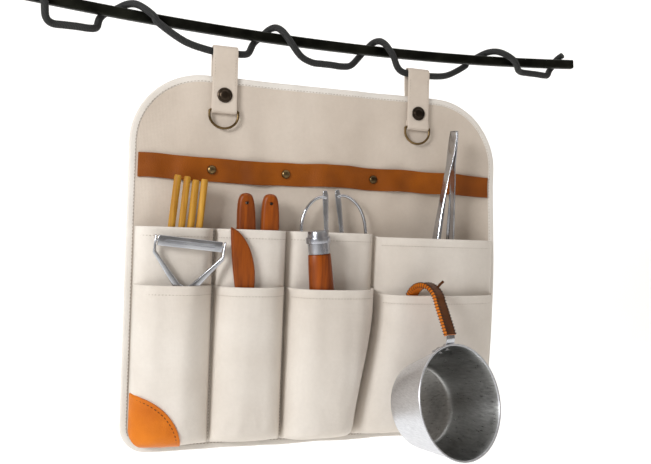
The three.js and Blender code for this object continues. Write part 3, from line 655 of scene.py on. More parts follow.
def ease(t):
    """A slow start and a slow end between 0 and 1."""
    t = min(max(t, 0.0), 1.0)
    return t * t * (3 - 2 * t)


def span(x, inset=0.0):
    """The p of the panel's upper and lower edges at x."""
    ax, top, foot = min(abs(x), HALF - inset), inset, TALL - inset
    for r, low in ((R_TOP - inset, False), (R_FOOT - inset, True)):
        over = ax - (HALF - inset - r)
        if over > 0:
            rise = r - math.sqrt(max(r * r - over * over, 0))
            top, foot = (top, foot - rise) if low else (top + rise, foot)
    return top, foot


def fold(x, p):
    """How far the panel stands forward of its flat plane, in millimetres; mostly it falls back."""
    away = min(abs(x - strap) for strap in STRAP_X.values())
    deep = max(ease((p - 38) / 70), 0.7 * ease((away - 16) / 30))
    return (-2.3 + 3.4 * bumps(x, p, 44, 170, 3.1) + 1.1 * bumps(x, p, 19, 70, 8.7)) * deep


def hung(x, p, forward=0.0):
    """Where a point of the cloth hangs: the right side bellies out and its upper corner droops."""
    x2 = x + 3.6 * ease((x - 60) / 140) * math.sin(math.pi * min(max((p - 90) / 280, 0), 1))
    droop = 5.0 * ease((x - 120) / 80) * ease((150 - p) / 150)
    wavy_foot = 1.2 * bumps(x, 0, 60, 1, 5.5) * ease((p - 250) / 120)
    return at(x2, p + droop + wavy_foot, forward + fold(x, p))


def border(inset, step=4.0):
    """The panel's outline, drawn in by inset, clockwise from the middle of the top."""
    w, rt, rb = HALF - inset, R_TOP - inset, R_FOOT - inset
    pts = [(0.0, inset)]
    for cx, cp, r, start in ((w - rt, inset + rt, rt, -90), (w - rb, TALL - inset - rb, rb, 0),
                             (-w + rb, TALL - inset - rb, rb, 90), (-w + rt, inset + rt, rt, 180)):
        pts += arc(cx, cp, r, start, start + 90, max(4, int(r * math.pi / 2 / step)))
    out = []
    for (ax, ap), (bx, bp) in zip(pts, pts[1:] + pts[:1]):
        n = max(1, int(math.hypot(bx - ax, bp - ap) / step))
        out += [(ax + (bx - ax) * k / n, ap + (bp - ap) * k / n) for k in range(n)]
    return out


print("cloth hangs", HANG, "mm below the rail and is", 2 * HALF, "by", TALL, "mm")

# %% [markdown]
# ## Panel and binding
# The panel is two layers of canvas sewn as one. It is drawn as one sheet whose points crowd towards
# its rounded sides, and is then thickened, which keeps the cloth even where it folds.

# %% The panel
RAW_EDGE = 1.6                       # the canvas stops just inside the folded tape


def spread(count, low, high):
    """Values from low to high that crowd towards both ends."""
    return [low + (high - low) * (0.5 - 0.5 * math.cos(math.pi * k / count)) for k in range(count + 1)]


rows = []
for x in spread(96, RAW_EDGE - HALF, HALF - RAW_EDGE):
    top, foot = span(x, 1.5)
    rows.append([hung(x, top + (foot - top) * k / 80) for k in range(81)])
panel = give("canvas_panel", *grid(rows), "canvas", "organiser", "back_panel")
thicken(panel, 2.8)
print("panel of", len(rows), "by", len(rows[0]), "points")

# %% [markdown]
# The binding is a tape folded over the raw edge. It puckers where it turns a corner, because the
# outer fold has further to go, so its section swells and shrinks along the way. A bevelled curve
# would stay too even.

# %% The binding
BINDING_WIDE, BINDING_THICK = 7.2, 4.5
rows, ring = [], border(BINDING_WIDE / 2, 3.5)
n = len(ring)
for i, (x, p) in enumerate(ring):
    (ax, ap), (bx, bp) = ring[i - 1], ring[(i + 1) % n]
    run = math.hypot(bx - ax, bp - ap)
    ox, op = (bp - ap) / run, -(bx - ax) / run
    corner = 1.0 if abs(ox * op) > 0.08 else 0.25
    swell = 1 + 0.10 * corner * bumps(i * 3.5, 0, 3.4, 1, 2.2) + 0.06 * bumps(i * 3.5, 0, 14, 1, 9.2)
    section = rounded(BINDING_WIDE, BINDING_THICK, 1.9)
    rows.append([hung(x + ox * s, p + op * s, o * swell) for s, o in section + section[:1]])
rows.append(rows[0])
binding = give("binding_tape", *grid(rows), "binding", "organiser", "edge_binding")
for name, side in (("binding_stitches", 1), ("binding_stitches_back", -1)):
    path = [hung(x, p, side * 2.05) for x, p in border(5.9, 3)]
    stitches(name, path + path[:1], 3.4, 0.62, "thread", "organiser", Vector((0, -side, 0)))
print("binding with", n, "points round the edge")

# %% [markdown]
# ## Pockets
# Each row is one cloth sewn down along the seams between its columns and gathered at its foot. A
# column's depth follows a rounded curve from seam to seam, with loose vertical folds on top. The
# tools inside hold the real pockets open, so the fullness is given column by column.

# %% Pocket surfaces
SIDE, FOOT = 192.2, 362.2            # where the rows end at the sides and at the foot
SEAMS = (-SIDE, -116.0, -43.0, 52.5, SIDE)
SEAM_HALF = 1.5                      # half the width that a seam holds flat
HEM = 9.5                            # the folded cloth under each open edge
ROWS = {
    # for each column: depth of its open edge, how far it stands out there and at its foot, how
    # square its left and right halves are, where its ridge runs and how sharp the ridge is;
    # for the row: how far its seams stand out, how quickly its foot closes, and the folds' seed
    "upper": dict(edge=(151, 151, 151, 154), mouth=(21.7, 24.0, 16.2, 34.7),
                  foot=(11.7, 13.2, 10.2, 21.2), full=((6, 6), (6, 6), (9, 9), (4, 2.6)),
                  crease=(0.6, 0.45, 0.5, 0.62), tent=(0.08, 0.05, 0.05, 0.08),
                  base=2.5, close=13.0, seed=11.3),
    "lower": dict(edge=(206, 207, 208, 213), mouth=(33.6, 33.2, 41.2, 42.7),
                  foot=(23.2, 26.2, 37.7, 30.2), full=((3, 3), (3, 3), (3.4, 3.4), (6, 2.2)),
                  crease=(0.7, 0.42, 0.46, 0.42), tent=(0.22, 0.09, 0, 0),
                  base=4.1, close=17.0, seed=27.9),
}


def seam_x(k, p):
    """The stitched lines run straight down but for the third, which slants to the left."""
    return SEAMS[k] - (20.0 * ease((p - 225) / 150) if k == 3 else 0.0)


def bulge(row, i, u, p):
    """How far the cloth of column i stands forward at the share u of its width."""
    r = ROWS[row]
    t = min(max((p - r["edge"][i]) / (FOOT - r["edge"][i]), 0), 1)
    reach = r["mouth"][i] + (r["foot"][i] - r["mouth"][i]) * t
    rise = (FOOT - p) / r["close"]
    if rise < 1:
        reach *= math.sqrt(max(1 - (1 - rise) ** 2.4, 0)) if rise > 0 else 0
    v = abs(2 * u - 1)
    full = math.sqrt(max(1 - v ** r["full"][i][u > 0.5], 0))
    ridge = r["crease"][i] - 0.08 * t
    slope = (ridge - u) / ridge if u < ridge else (u - ridge) / (1 - ridge)
    full *= 1 - r["tent"][i] * (math.sqrt(slope * slope + 0.006) - 0.078)
    x = halfway(seam_x(i, p), seam_x(i + 1, p), u)
    folds = 0.5 + 1.3 * bumps(x, p, 17, 130, r["seed"]) + 0.6 * bumps(x, p, 8, 46, r["seed"] + 4)
    gathers = 1.5 * math.exp(-abs(FOOT - 16 - p) / 16) * bumps(x + 0.5 * p, p, 6.5, 22, r["seed"] + 9)
    loose = full * folds * min(rise, 1) + full * gathers
    hem = 0.55 * full ** 0.3 if p - r["edge"][i] < HEM else 0.0
    return r["base"] + max(reach - r["base"], 0) * full + loose + hem - fold(x, p) * full


def pocket_row(row, per=26, down=64):
    """Lines of points down the cloth, column after column, crowded towards the seams."""
    edge, lines = ROWS[row]["edge"], []
    for i in range(4):
        for k, u in enumerate(spread(per, 0, 1)):
            u = 0.55 * u + 0.45 * k / per
            top = edge[i] if k or not i else (edge[i] + edge[i - 1]) / 2
            foot = min(FOOT, span(halfway(seam_x(i, FOOT), seam_x(i + 1, FOOT), u), 7.9)[1])
            line = []
            for j in range(down + 1):
                p = top + (foot - top) * (j / down) ** 1.12
                left = seam_x(i, p) + (SEAM_HALF if i else 0)
                right = seam_x(i + 1, p) - (SEAM_HALF if i < 3 else 0)
                line.append(hung(halfway(left, right, u), p, bulge(row, i, u, p)))
            lines.append(line)
    return lines


print("pockets between seams at", [round(x) for x in SEAMS])

# %% [markdown]
# The two rows are cut from the same cloth and sewn with the same thread: a line under each hem and
# one down each seam. The lower row's seams go through all layers, so they show on the back as well.

# %% Pocket rows and their seams
POCKET_PITCH = 3.2
for row in ROWS:
    cloth_row = give(row + "_pockets", *grid(pocket_row(row)), "pocket_canvas", "organiser",
                     row + "_pocket_row")
    thicken(cloth_row, 1.2)
    r = ROWS[row]
    for i in range(4):
        hem_line, p = [], r["edge"][i] + HEM - 0.9
        for k in range(1, 32):
            x = halfway(seam_x(i, p), seam_x(i + 1, p), k / 32)
            hem_line.append(hung(x, p, bulge(row, i, k / 32, p) + 0.75))
        stitches(f"{row}_hem_{i + 1}", hem_line, POCKET_PITCH, 0.5, "thread", "organiser")
    for i in (1, 2, 3):
        top = max(r["edge"][i - 1], r["edge"][i]) + 1.5
        down = [halfway(top, 358, k / 60) for k in range(61)]
        seam_line = [hung(seam_x(i, p), p, r["base"] + 0.75) for p in down]
        stitches(f"{row}_seam_{i}", seam_line, POCKET_PITCH, 0.55, "thread", "organiser")
        if row == "lower":
            down = [halfway(154, 358, k / 60) for k in range(61)]
            back = [hung(seam_x(i, p), p, -1.55) for p in down]
            stitches(f"seam_back_{i}", back, POCKET_PITCH, 0.55, "thread", "organiser", Vector((0, 1, 0)))
    print(row, "row of four pockets")

# %% [markdown]
# ## Leather band, rivets and corners
# The band is a strip of hide held by three dome rivets. It waves a little away from the canvas
# between them, as hide does when it is longer than the cloth under it. Each rivet is turned from one
# outline, tail and dome together.

# %% Band and rivets
RIVETS = (-120.6, -44.7, 51.8)
RIVET_P = 93                         # the rivets' depth on the panel
BAND_END, BAND_TOP, BAND_TALL = 191.4, 81.2, 23.6
DOME = [(0, -2.9), (3, -2.9), (3, -1.9), (1.4, -1.7), (1.4, 4.1), (4.2, 4.1), (4.5, 4.4), (4.4, 5.0),
        (3.7, 5.8), (2.4, 6.45), (1.0, 6.7), (0, 6.75)]


def band_off(x, p):
    """How far the band stands forward of the panel."""
    held = min(abs(x - r) for r in RIVETS + (-192, 192))
    wave = 0.55 + 1.1 * bumps(x, 0, 30, 1, 6.6)
    return 2.8 + 4.2 * ease(held / 40) * wave + 0.5 * bumps(x, p, 15, 14, 1.4)


rows = []
for k in range(121):
    x = BAND_END * (k / 60 - 1)
    sag = 3.0 * bumps(x, 0, 52, 1, 14.2) * ease(min(abs(x - r) for r in RIVETS) / 30)
    rows.append([hung(x, BAND_TOP + BAND_TALL * j / 12 + sag, band_off(x, 81 + 2 * j)) for j in range(13)])
band = give("hide_band", *grid(rows), "tan", "organiser", "leather_band")
thicken(band, 1.9, 0.45)

for i, x in enumerate(RIVETS):
    where = Matrix.Translation(hung(x, RIVET_P)) @ FORWARD
    tool(f"dome_rivet_{i + 1}", turned(mm(DOME), 32), where, "brass", "organiser", f"band_rivet_{i + 1}")
print("band with", len(RIVETS), "rivets")

# %% [markdown]
# A corner patch is a quarter-round of thick orange hide, sewn by hand over the lower pocket where
# the wear is worst. Its points are taken from the pocket under it, so it bulges with the pocket.

# %% Corner patches
PATCH_TALL, PATCH_WIDE = 52, 47.5
SEWN_IN = 0.93                       # the stitches follow the edge at this share of its size


def patch_edge(p):
    """Distance from the panel's side to the patch's curved edge, at depth p."""
    t = min(max((p - (FOOT - PATCH_TALL)) / PATCH_TALL, 0), 1)
    return PATCH_WIDE * (1 - (1 - t) ** 1.95) ** 0.56


def on_pocket(side, d, p, lift):
    """A point above the outermost lower pocket, d in from the panel's side."""
    x, col = side * (SIDE - d), 0 if side < 0 else 3
    left, right = seam_x(col, p), seam_x(col + 1, p)
    share = min(max((x - left) / (right - left), 0), 1)
    return hung(x, p, bulge("lower", col, share, p) + lift)


def foot_corner(p):
    """How far in from the panel's side the cloth begins at depth p, round the lower corner."""
    x = SIDE - 0.4
    while span(x, 8.0)[1] < p - 0.05 and x > 150:
        x -= 0.2
    return SIDE - x


for side, name in ((-1, "left"), (1, "right")):
    rows = []
    for j in range(31):
        p = FOOT - PATCH_TALL + (PATCH_TALL - 0.4) * j / 30
        near = foot_corner(p)
        far = max(patch_edge(p), near + 0.3)
        rows.append([on_pocket(side, halfway(near, far, k / 26), p, 1.9) for k in range(27)])
    patch = give(f"hide_corner_{name}", *grid(rows), "orange", "organiser", f"corner_patch_{name}")
    thicken(patch, 1.8, 0.4)
    line = []
    for p in (FOOT - 51.5 + 50 * (k / 40) ** 1.6 for k in range(41)):
        line.append(on_pocket(side, max(SEWN_IN * patch_edge(p), 0.8), FOOT - SEWN_IN * (FOOT - p), 2.85))
    stitches(f"corner_stitches_{name}", line, 4.1, 0.7, "dark_thread_and_shade", "organiser")
print("two corner patches")

# %% [markdown]
# ## Straps, snaps and rings
# A strap is one ribbon: sewn to the panel's back, over the cord, down the front, round the D-ring's
# bar and back up behind itself. The front leg is a piece of its own that starts just above the cord's
# side.

# %% Straps
FOLD_Z = -HANG - 34                  # the bar of the D-ring, in the strap's fold


def strap_ribbon(line, x):
    """A soft-edged ribbon along (y, z) points, in millimetres."""
    rings = []
    for i, (y, z) in enumerate(line):
        (ay, az), (by, bz) = line[max(i - 1, 0)], line[min(i + 1, len(line) - 1)]
        run = math.hypot(by - ay, bz - az)
        ny, nz = -(bz - az) / run, (by - ay) / run
        ring = [Vector((x + s, y + ny * o, z + nz * o)) / 1000 for s, o in rounded(STRAP_WIDTH, 1.6, 0.7, 2)]
        loop = []
        for a, b in zip(ring, ring[1:] + ring[:1]):
            m = 8 if (b - a).length > 0.01 else 1
            loop += [a.lerp(b, k / m) for k in range(m)]
        rings.append([v + Vector((0, 0.00022 * bumps(v.x * 1000, v.z * 1000, 7, 9, x), 0)) for v in loop])
    return tube(rings)


def between(a, b, n):
    """The n - 1 points that part the line from a to b evenly."""
    return [(halfway(a[0], b[0], k / n), halfway(a[1], b[1], k / n)) for k in range(1, n)]


for side, x in STRAP_X.items():
    top, sewn_end = -19.0, (3.3, -HANG - 42)
    leg = [(5.1, top - 8), (4.3, top - 17), (3.4, -HANG + 3), (3.35, -HANG - 8)]
    back = arc(0, top, 5.2, 100, 0, 10) + leg + between(leg[-1], sewn_end, 10) + [sewn_end]
    piece = give(f"strap_rear_{side}", *strap_ribbon(back, x), "canvas", "organiser", f"strap_back_{side}")

    front = arc(0, top, 5.2, 100.5, 180, 8) + [(-5.3, top - 3), (-5.3, top - 8)]
    front += between((-5.3, top - 8), (-5.6, FOLD_Z + 8), 12) + [(-5.6, FOLD_Z + 8), (-6.4, FOLD_Z + 4)]
    front += arc(-5.2, FOLD_Z, 2.25, 165, 345, 10)[1:] + [(-3.1, FOLD_Z + 3.4), (-3.45, FOLD_Z + 7.2)]
    piece = give(f"strap_face_{side}", *strap_ribbon(front, x), "canvas", None, f"strap_front_{side}")
    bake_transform(piece)
    for name, y, heights, body, out in (("strap_stitch", -6.15, range(-26, -76, -1), f"strap_{side}", -1),
                                        ("strap_back_stitch", 4.2, range(-52, -85, -1), "organiser", 1)):
        for s, letter in ((-1, "a"), (1, "b")):
            line = [Vector((x + s * 10.2, y, z)) / 1000 for z in heights]
            stitches(f"{name}_{side}_{letter}", line, 3.1, 0.5, "thread", body, Vector((0, out, 0)))
print("straps at", list(STRAP_X.values()))

# %% [markdown]
# A snap has a cap riveted through a socket on the front leg, and a stud riveted through the panel.
# All three are pressed and round, so each is turned from its outline of (radius, distance forward).

# %% Snaps
SNAP_P = 19                          # the snaps' depth on the panel
CAP = [(0, 3.1), (1.9, 3.1), (1.9, 6.45), (7.2, 6.45), (7.5, 6.75), (7.45, 7.3), (7.0, 7.75), (6.0, 8.1),
       (5.5, 7.9), (5.2, 7.9), (4.7, 8.35), (3.0, 8.75), (1.4, 8.9), (0, 8.95)]
SOCKET = [(2.2, 2.8), (4.9, 2.8), (5.4, 3.05), (5.5, 3.5), (5.4, 4.1), (2.2, 4.1), (2.2, 2.8)]
STUD = [(0, -2.6), (4.1, -2.6), (4.5, -2.3), (4.5, -1.8), (1.5, -1.8), (1.5, 1.8), (4.5, 1.8), (4.5, 2.2),
        (1.6, 2.45), (1.5, 2.75), (0, 2.8)]
for side, x in STRAP_X.items():
    where = Matrix.Translation(at(x, SNAP_P)) @ FORWARD
    for name, shape, body in (("cap", CAP, f"strap_{side}"), ("socket", SOCKET, f"strap_{side}"),
                              ("stud", STUD, "organiser")):
        tool(f"{name}_{side}", turned(mm(shape), 40), where, "snap", body, f"snap_{name}_{side}")
print("snaps", SNAP_P, "mm down the panel")

# %% [markdown]
# A D-ring is bent from 2.5 mm brass wire: a straight bar in the strap's fold and a round bow below.
# A round section swept round the closed loop keeps the wire even at the tight corners.

# %% D-rings
RING_HALF, RING_DROP = 14.3, 17.6    # half width and height, both to the wire's middle
for side, x in STRAP_X.items():
    bow = []
    for k in range(33):
        a = math.pi + math.pi * k / 32
        z = FOLD_Z + RING_DROP * (0.75 * math.sin(a) - 0.25)
        bow.append(Vector((x + RING_HALF * math.cos(a), -5.2, z)) / 1000)
    corner = [Vector((x - RING_HALF + 1, -5.2, FOLD_Z)) / 1000,
              Vector((x - RING_HALF + 0.1, -5.2, FOLD_Z - 0.7)) / 1000]
    loop = corner + bow + [Vector((2 * x / 1000 - v.x, v.y, v.z)) for v in reversed(corner)]
    loop += [Vector((x + (RING_HALF - 1) * (1 - k / 6), -5.2, FOLD_Z)) / 1000 for k in range(1, 12)]
    ring = give(f"dee_{side}", *sweep(loop, mm(circle(1.25, 12)), closed=True), "brass", f"ring_{side}",
                f"d_ring_{side}")
print("two D-rings,", round(2 * RING_HALF), "mm wide")

# %% [markdown]
# ## Tools
# Every tool is shaped round its own axis first and then stood in its pocket at the same place and
# lean as its rigid body.

# %% Standing helpers
def stand(x, p, forward, right, out, turn=0.0):
    """The place of a tool that leans right and out by the given degrees and is turned on its axis."""
    return (Matrix.Translation(at(x, p, forward)) @ Matrix.Rotation(math.radians(out), 4, "X")
            @ Matrix.Rotation(math.radians(right), 4, "Y") @ Matrix.Rotation(math.radians(turn), 4, "Z"))


def rounded_plate(outline, thickness, soft, holes=()):
    """A plate with a smooth outline and a soft edge, all in millimetres."""
    line = smooth_line([Vector((x, 0, z)) for x, z in outline], 4, closed=True)
    return extruded([(v.x / 1000, v.z / 1000) for v in line], thickness / 1000, soft / 1000, mm(holes))


print("an upright tool stands at", stand(0, TALL, 0, 0, 0).translation[:])

# %% [markdown]
# The chopsticks are plain bamboo, tapered, with slightly squared sides. They are turned and then
# squared by a small swell at four angles, since real ones are planed square before they are rounded.

# %% Chopsticks
STICK = [(0, 0), (1.2, 0), (1.9, 0.6), (2.3, 20), (3.3, 70), (3.35, 180), (3.35, 238.2), (2.9, 239.6),
         (2.5, 240), (0, 240)]
STICKS_AT = ((-176, 340, 5), (-164.6, 341, 4.4), (-155.6, 344, 4.2), (-147.2, 343, 4.2))
for i, (x, p, right) in enumerate(STICKS_AT):
    verts, faces = turned(mm(STICK), 20)
    for v in verts:
        square = 1 + 0.035 * math.cos(4 * math.atan2(v.y, v.x))
        v.x, v.y = v.x * square, v.y * square
    name = f"chopstick_{i + 1}"
    tool(f"stick_{i + 1}", (verts, faces), stand(x, p, 6.5, right, 3, 37 * i), "bamboo", name, name)
print("four chopsticks", STICK[-1][1], "mm long")

# %% [markdown]
# A table knife and a fork have the same wooden handle with a hole near its end. A thin dark tube
# inside the hole is painted shade. The handles are cut, drilled and rounded over; the steel is
# stamped from thin stock.

# %% Table knife and fork
HANDLE = [(-6.8, 110), (0, 109.7), (6.8, 110), (8.4, 132), (9.5, 155), (9.2, 185), (8.4, 205), (6.4, 214.6),
          (2.8, 218), (-2.8, 218), (-6.4, 214.6), (-8.4, 205), (-9.2, 185), (-9.5, 155), (-8.4, 132)]
HOLE_Z = 209
# a thin dark tube inside the drilled hole, which is painted shade
HOLE_SHADE = [(1.35, -5.3), (1.76, -5.3), (1.76, 5.3), (1.35, 5.3), (1.35, -5.3)]
BLADE = [(-2, 0), (4, 4), (8, 20), (8, 60), (8, 95.7), (4, 109.5), (-4, 109.5), (-4, 99.7), (-6, 60),
         (-7, 22)]
TINES = [(-8, 0), (-6.4, 0), (-5.2, 36), (-1.8, 36), (-0.9, 0), (0.9, 0), (1.8, 36), (5.2, 36), (6.4, 0),
         (8, 0), (8.6, 40), (6, 56), (3, 64), (4, 109.5), (-4, 109.5), (-3, 64), (-6, 56), (-8.6, 40)]
for name, x, right, end, outline in (("table_knife", -77.5, -3, "blade", BLADE),
                                     ("table_fork", -58.5, -1.5, "tines", TINES)):
    where = stand(x, 333, 6.8, right, 3)
    grip = rounded_plate(HANDLE, 11, 3.4, [(0, HOLE_Z, 1.8)])
    tool(f"{name}_grip", grip, where, "red_wood", name, f"{name}_handle")
    # the dark tube in the hole is painted shade
    verts, faces = turned(mm(HOLE_SHADE), 16)
    in_hole = where @ Matrix.Translation((0, 0, HOLE_Z / 1000)) @ FORWARD
    give(f"{name}_hole_shade", placed(verts, in_hole), faces, "dark_thread_and_shade", name)
    steel = extruded(mm(outline), 0.0018, 0.0005)
    tool(f"{name}_steel", steel, where, "steel", name, f"{name}_{end}")
print("table knife and fork")

# %% [markdown]
# The scissors are two stamped halves that cross at a screw. Each half is one plate, blade and shank
# together, with a bow of round wire welded to it. The second half is the first one mirrored.

# %% Scissors
HALF_PLATE = [(-1, -90), (3.4, -72), (6, -54), (7.3, -30), (7.5, -12), (7.2, 9), (-6.2, 60), (-6.2, 92),
              (-3.9, 124), (-5, 129.6), (-9, 129.6), (-10.4, 124), (-10.8, 92), (-12.4, 60), (-8, 6),
              (-5, -6), (-2, -14)]
BOW = [(6.5, 121.5), (13, 123), (21, 119.5), (29, 111), (34, 99), (35.5, 84), (34, 68), (28, 55), (19, 48),
       (7.5, 46.5)]
SCREW = [(0, -3.5), (3.2, -3.5), (4, -3.0), (4, -2.35), (2, -2.3), (2, 2.3), (4, 2.35), (4, 3.0),
         (3.2, 3.5), (0, 3.5)]
where = stand(16, 236, 8, -6.5, 2)
for s, side, body in ((-1, "left", "scissors"), (1, "right", "scissors_right")):
    plate = extruded(mm([(-s * a, b) for a, b in HALF_PLATE]), 0.0019, 0.0006)
    wire = smooth_line([Vector((s * a, 0, b)) / 1000 for a, b in BOW], 6)
    verts, faces = joined(plate, sweep(wire, mm(circle(1.65, 12))))
    verts = [v + Vector((0, s * 0.00115, 0)) for v in verts]
    tool(f"shears_{side}", (verts, faces), where, "steel", body, f"scissor_half_{side}")
tool("shears_screw", turned(mm(SCREW), 28), where @ FORWARD, "steel", "scissors", "scissor_pivot")
print("scissors of two halves and a screw")

# %% [markdown]
# The tongs are two arms of spring steel with lips along their edges, on a pin at their lower ends.
# An arm is a sheet bent along a smooth line, wide and dished in the middle and narrow at the waist,
# so it is drawn as rows across that line and thickened.

# %% Tongs
ARM = [(4.05, 0), (5.0, 30), (10.4, 90), (13, 150), (11, 200), (5.85, 245), (2.5, 268), (1.2, 288),
       (0.9, 304)]
PIN = [(0, -5.9), (2.6, -5.9), (3, -5.5), (3, 5.5), (2.6, 5.9), (0, 5.9)]
where = stand(119, 341, 10, 2.8, 3, 15)
for s, side, body in ((-1, "front", "tongs_front"), (1, "back", "tongs")):
    path = smooth_line([Vector((s * a, 0, b)) / 1000 for a, b in ARM], 7)
    rows = []
    for i, v in enumerate(path):
        z = v.z * 1000
        half = 6 - 1.9 * ease((z - 170) / 75) + 1.7 * ease((z - 262) / 22) - 1.2 * ease((z - 294) / 12)
        lip = 2.6 * ease((z - 25) / 50) * (1 - ease((z - 205) / 50)) + 0.25
        along = (path[min(i + 1, len(path) - 1)] - path[max(i - 1, 0)]).normalized()
        inward = Vector((0, 1, 0)).cross(along) * s
        across = [-1 + 2 * k / 12 for k in range(13)]
        rows.append([v + (Vector((0, half * u, 0)) - inward * lip * abs(u) ** 5) / 1000 for u in across])
    arm = tool(f"tong_arm_{side}", grid(rows), where, "steel", body, f"tongs_arm_{side}")
    thicken(arm, 1.3, 0.3)
tool("tong_pin", turned(mm(PIN), 24), where @ FORWARD, "steel", "tongs", "tongs_pin")
print("tongs", ARM[-1][1], "mm long")

# %% [markdown]
# The peeler is a flat fork of steel with a blade that swivels between its ends. The blade is a bar
# with a pin at each end and a rim round its slot on both faces, joined as one piece.

# %% Peeler
FORK = [(-4.5, 0), (4.5, 0), (7, 30), (4.5, 110), (8.6, 135), (33.5, 168), (33.5, 184.4), (32.6, 185.2),
        (31.6, 184.4), (31.0, 170.4), (5.4, 141.6), (0, 139), (-5.4, 141.6), (-31.0, 170.4), (-31.6, 184.4),
        (-32.6, 185.2), (-33.5, 184.4), (-33.5, 168), (-8.6, 135), (-4.5, 110), (-7, 30)]
BAR = [(-30.3, 175.4), (-29.4, 175), (29.4, 175), (30.3, 175.4), (30.3, 184.6), (29.4, 185), (-29.4, 185),
       (-30.3, 184.6)]
END_PIN = [(0, 0), (1.2, 0), (1.2, 4.2), (0, 4.2)]
SWIVEL_Z = 0.18                      # the blade's axis, up the fork
where = stand(-158.2, 345, 16.6, 5, 4)
tool("peeler_fork", extruded(mm(FORK), 0.005, 0.0011), where, "steel", "peeler", "peeler_frame")
shapes = [extruded(mm(BAR), 0.003, 0.0006)]
for s in (-1, 1):
    verts, faces = turned(mm(END_PIN), 12)
    end = Matrix.Translation((s * 0.0291, 0, SWIVEL_Z)) @ Matrix.Rotation(s * math.pi / 2, 4, "Y")
    shapes.append((placed(verts, end), faces))
for y in (-0.001558, 0.001558):
    rim = []
    for k in range(28):
        a = math.tau * k / 28
        x = math.copysign(0.0215, math.cos(a)) + 0.0016 * math.cos(a)
        rim.append(Vector((x, y, SWIVEL_Z + 0.0012 * math.sin(a))))
    shapes.append(sweep(rim, mm(circle(0.45, 6)), closed=True))
tool("peeler_edge", joined(*shapes), where, "steel", "peeler_blade", "peeler_blade")
print("peeler with", len(shapes), "shapes in its blade")

# %% [markdown]
# The spreader is one flat piece of oiled wood with a slanted end. It is sawn to its outline, and
# all its edges are rounded over, so a smoothed plate with a wide bevel gives the same thing.

# %% Wooden spreader
SPREADER = [(-6, 0), (6, 0), (8.8, 6), (9, 60), (8, 110), (9.5, 140), (9.2, 158), (4.6, 176), (-3.2, 189),
            (-11.4, 195.6), (-14, 193), (-12.2, 160), (-10, 140), (-8, 110), (-9, 60), (-8.8, 6)]
tool("spreader", rounded_plate(SPREADER, 6, 2.1), stand(-84, 345, 19.8, -2, 3), "red_wood", "spreader",
     "wooden_spreader")
print("spreader", max(z for x, z in SPREADER), "mm long")

# %% [markdown]
# The folding knife's wooden handle has a slot down its right side for the closed blade, and so has
# the collar above it. Each ring of both is an oval with a notch, which is simpler than cutting the
# slot with a boolean and leaves clean walls. The lock ring is a band bent round the collar.

# %% Folding knife
GRIP = [(4, 0, 0), (9, 0.3, 0), (11.4, 3, 0), (12.5, 8, 0), (12.8, 12, 0), (12.8, 12.05, 1), (13.4, 30, 1),
        (13.5, 50, 1), (13.3, 85, 1), (12.8, 112, 1), (12.0, 138, 1), (11.6, 149, 1), (11.1, 150, 1)]
FERRULE = [(10.4, 150.4, 1), (10.8, 150.8, 1), (11.0, 160, 1), (10.9, 164, 1), (10.4, 171.6, 1),
           (9.9, 173, 1), (8.8, 173.3, 1)]
KNIFE_PIN = [(0, -7.9), (1.3, -7.9), (1.5, -7.7), (1.5, 7.7), (1.3, 7.9), (0, 7.9)]
KNIFE_EDGE = [(0.6, 161), (5, 161.4), (9, 154), (11.6, 142), (13.1, 130), (14.1, 100), (14.1, 84), (13, 58),
              (9.6, 46), (6, 38.4), (3, 42), (2.3, 70), (1.8, 100), (0.6, 130), (-0.3, 146), (-0.3, 158)]
LOCK_RADIUS, LOCK_Z = 11.9, 164.3
where = stand(2.6, 322, 24.6, -6.7, 2)


def slotted(profile, squash=1.0, half=1.3, floor=-4.0, steps=40):
    """Rings of (radius, height, slot open or not) with a notch on the +X side."""
    rings = []
    for r, z, open_ in profile:
        a0 = math.asin(min(half / (r * squash), 0.9))
        angles = [a0 + (math.tau - 2 * a0) * k / steps for k in range(steps + 1)]
        ring = [Vector((r * math.cos(a), r * squash * math.sin(a), z)) / 1000 for a in angles]
        deep = floor if open_ else r * math.cos(a0) - 0.01
        rings.append(ring + [Vector((deep, -half, z)) / 1000, Vector((deep, half, z)) / 1000])
    return tube(rings)


tool("knife_grip", slotted(GRIP, 21 / 27), where, "brown_wood", "folding_knife", "knife_handle")
tool("knife_ferrule", slotted(FERRULE), where, "collar", "folding_knife", "knife_collar")
gap = math.degrees(math.asin(0.13))
path = [Vector((x, y, LOCK_Z)) / 1000 for x, y in arc(0, 0, LOCK_RADIUS, gap, 360 - gap, 60)]
verts, faces = sweep(path, mm(rounded(5.9, 1.0, 0.35, 2)), twist=[Vector((v.x, v.y, 0)) for v in path])
tool("knife_ring", (verts, faces), where, "collar", "lock_ring", "knife_lock_ring")
tool("knife_pin", turned(mm(KNIFE_PIN), 20), where @ Matrix.Translation((0, 0, 0.156)) @ FORWARD, "steel",
     "folding_knife", "knife_pivot")
steel = extruded(mm(KNIFE_EDGE), 0.0018, 0.0005)
tool("knife_edge", steel, where, "steel", "knife_blade", "knife_blade")
print("folding knife", GRIP[-1][1], "mm in the handle")

# %% [markdown]
# ## Cup
# The cup hangs on its side with its mouth towards the viewer, tilted and turned. Everything of the
# cup is shaped round its own axis, with z = 0 at the rim and the base below, and placed by one matrix.

# %% The cup's own frame
CUP_RIM, CUP_BASE, CUP_DEEP = 54.3, 41.6, 57.7
turn, tilt = math.radians(18.3), math.radians(15)
axis = Vector((math.sin(turn) * math.cos(tilt), -math.cos(turn) * math.cos(tilt), math.sin(tilt)))
up_side = (Vector((0, 0, 1)) - axis * axis.z).normalized()
cup_turn = Matrix((up_side, axis.cross(up_side), axis)).transposed().to_4x4()
cup_at = Matrix.Translation((0.1081, -0.1055, -0.3521)) @ cup_turn


def wall(z):
    """The wall's outer radius at height z, from 0 at the rim down to the base."""
    return CUP_RIM + z * (CUP_RIM - CUP_BASE) / CUP_DEEP


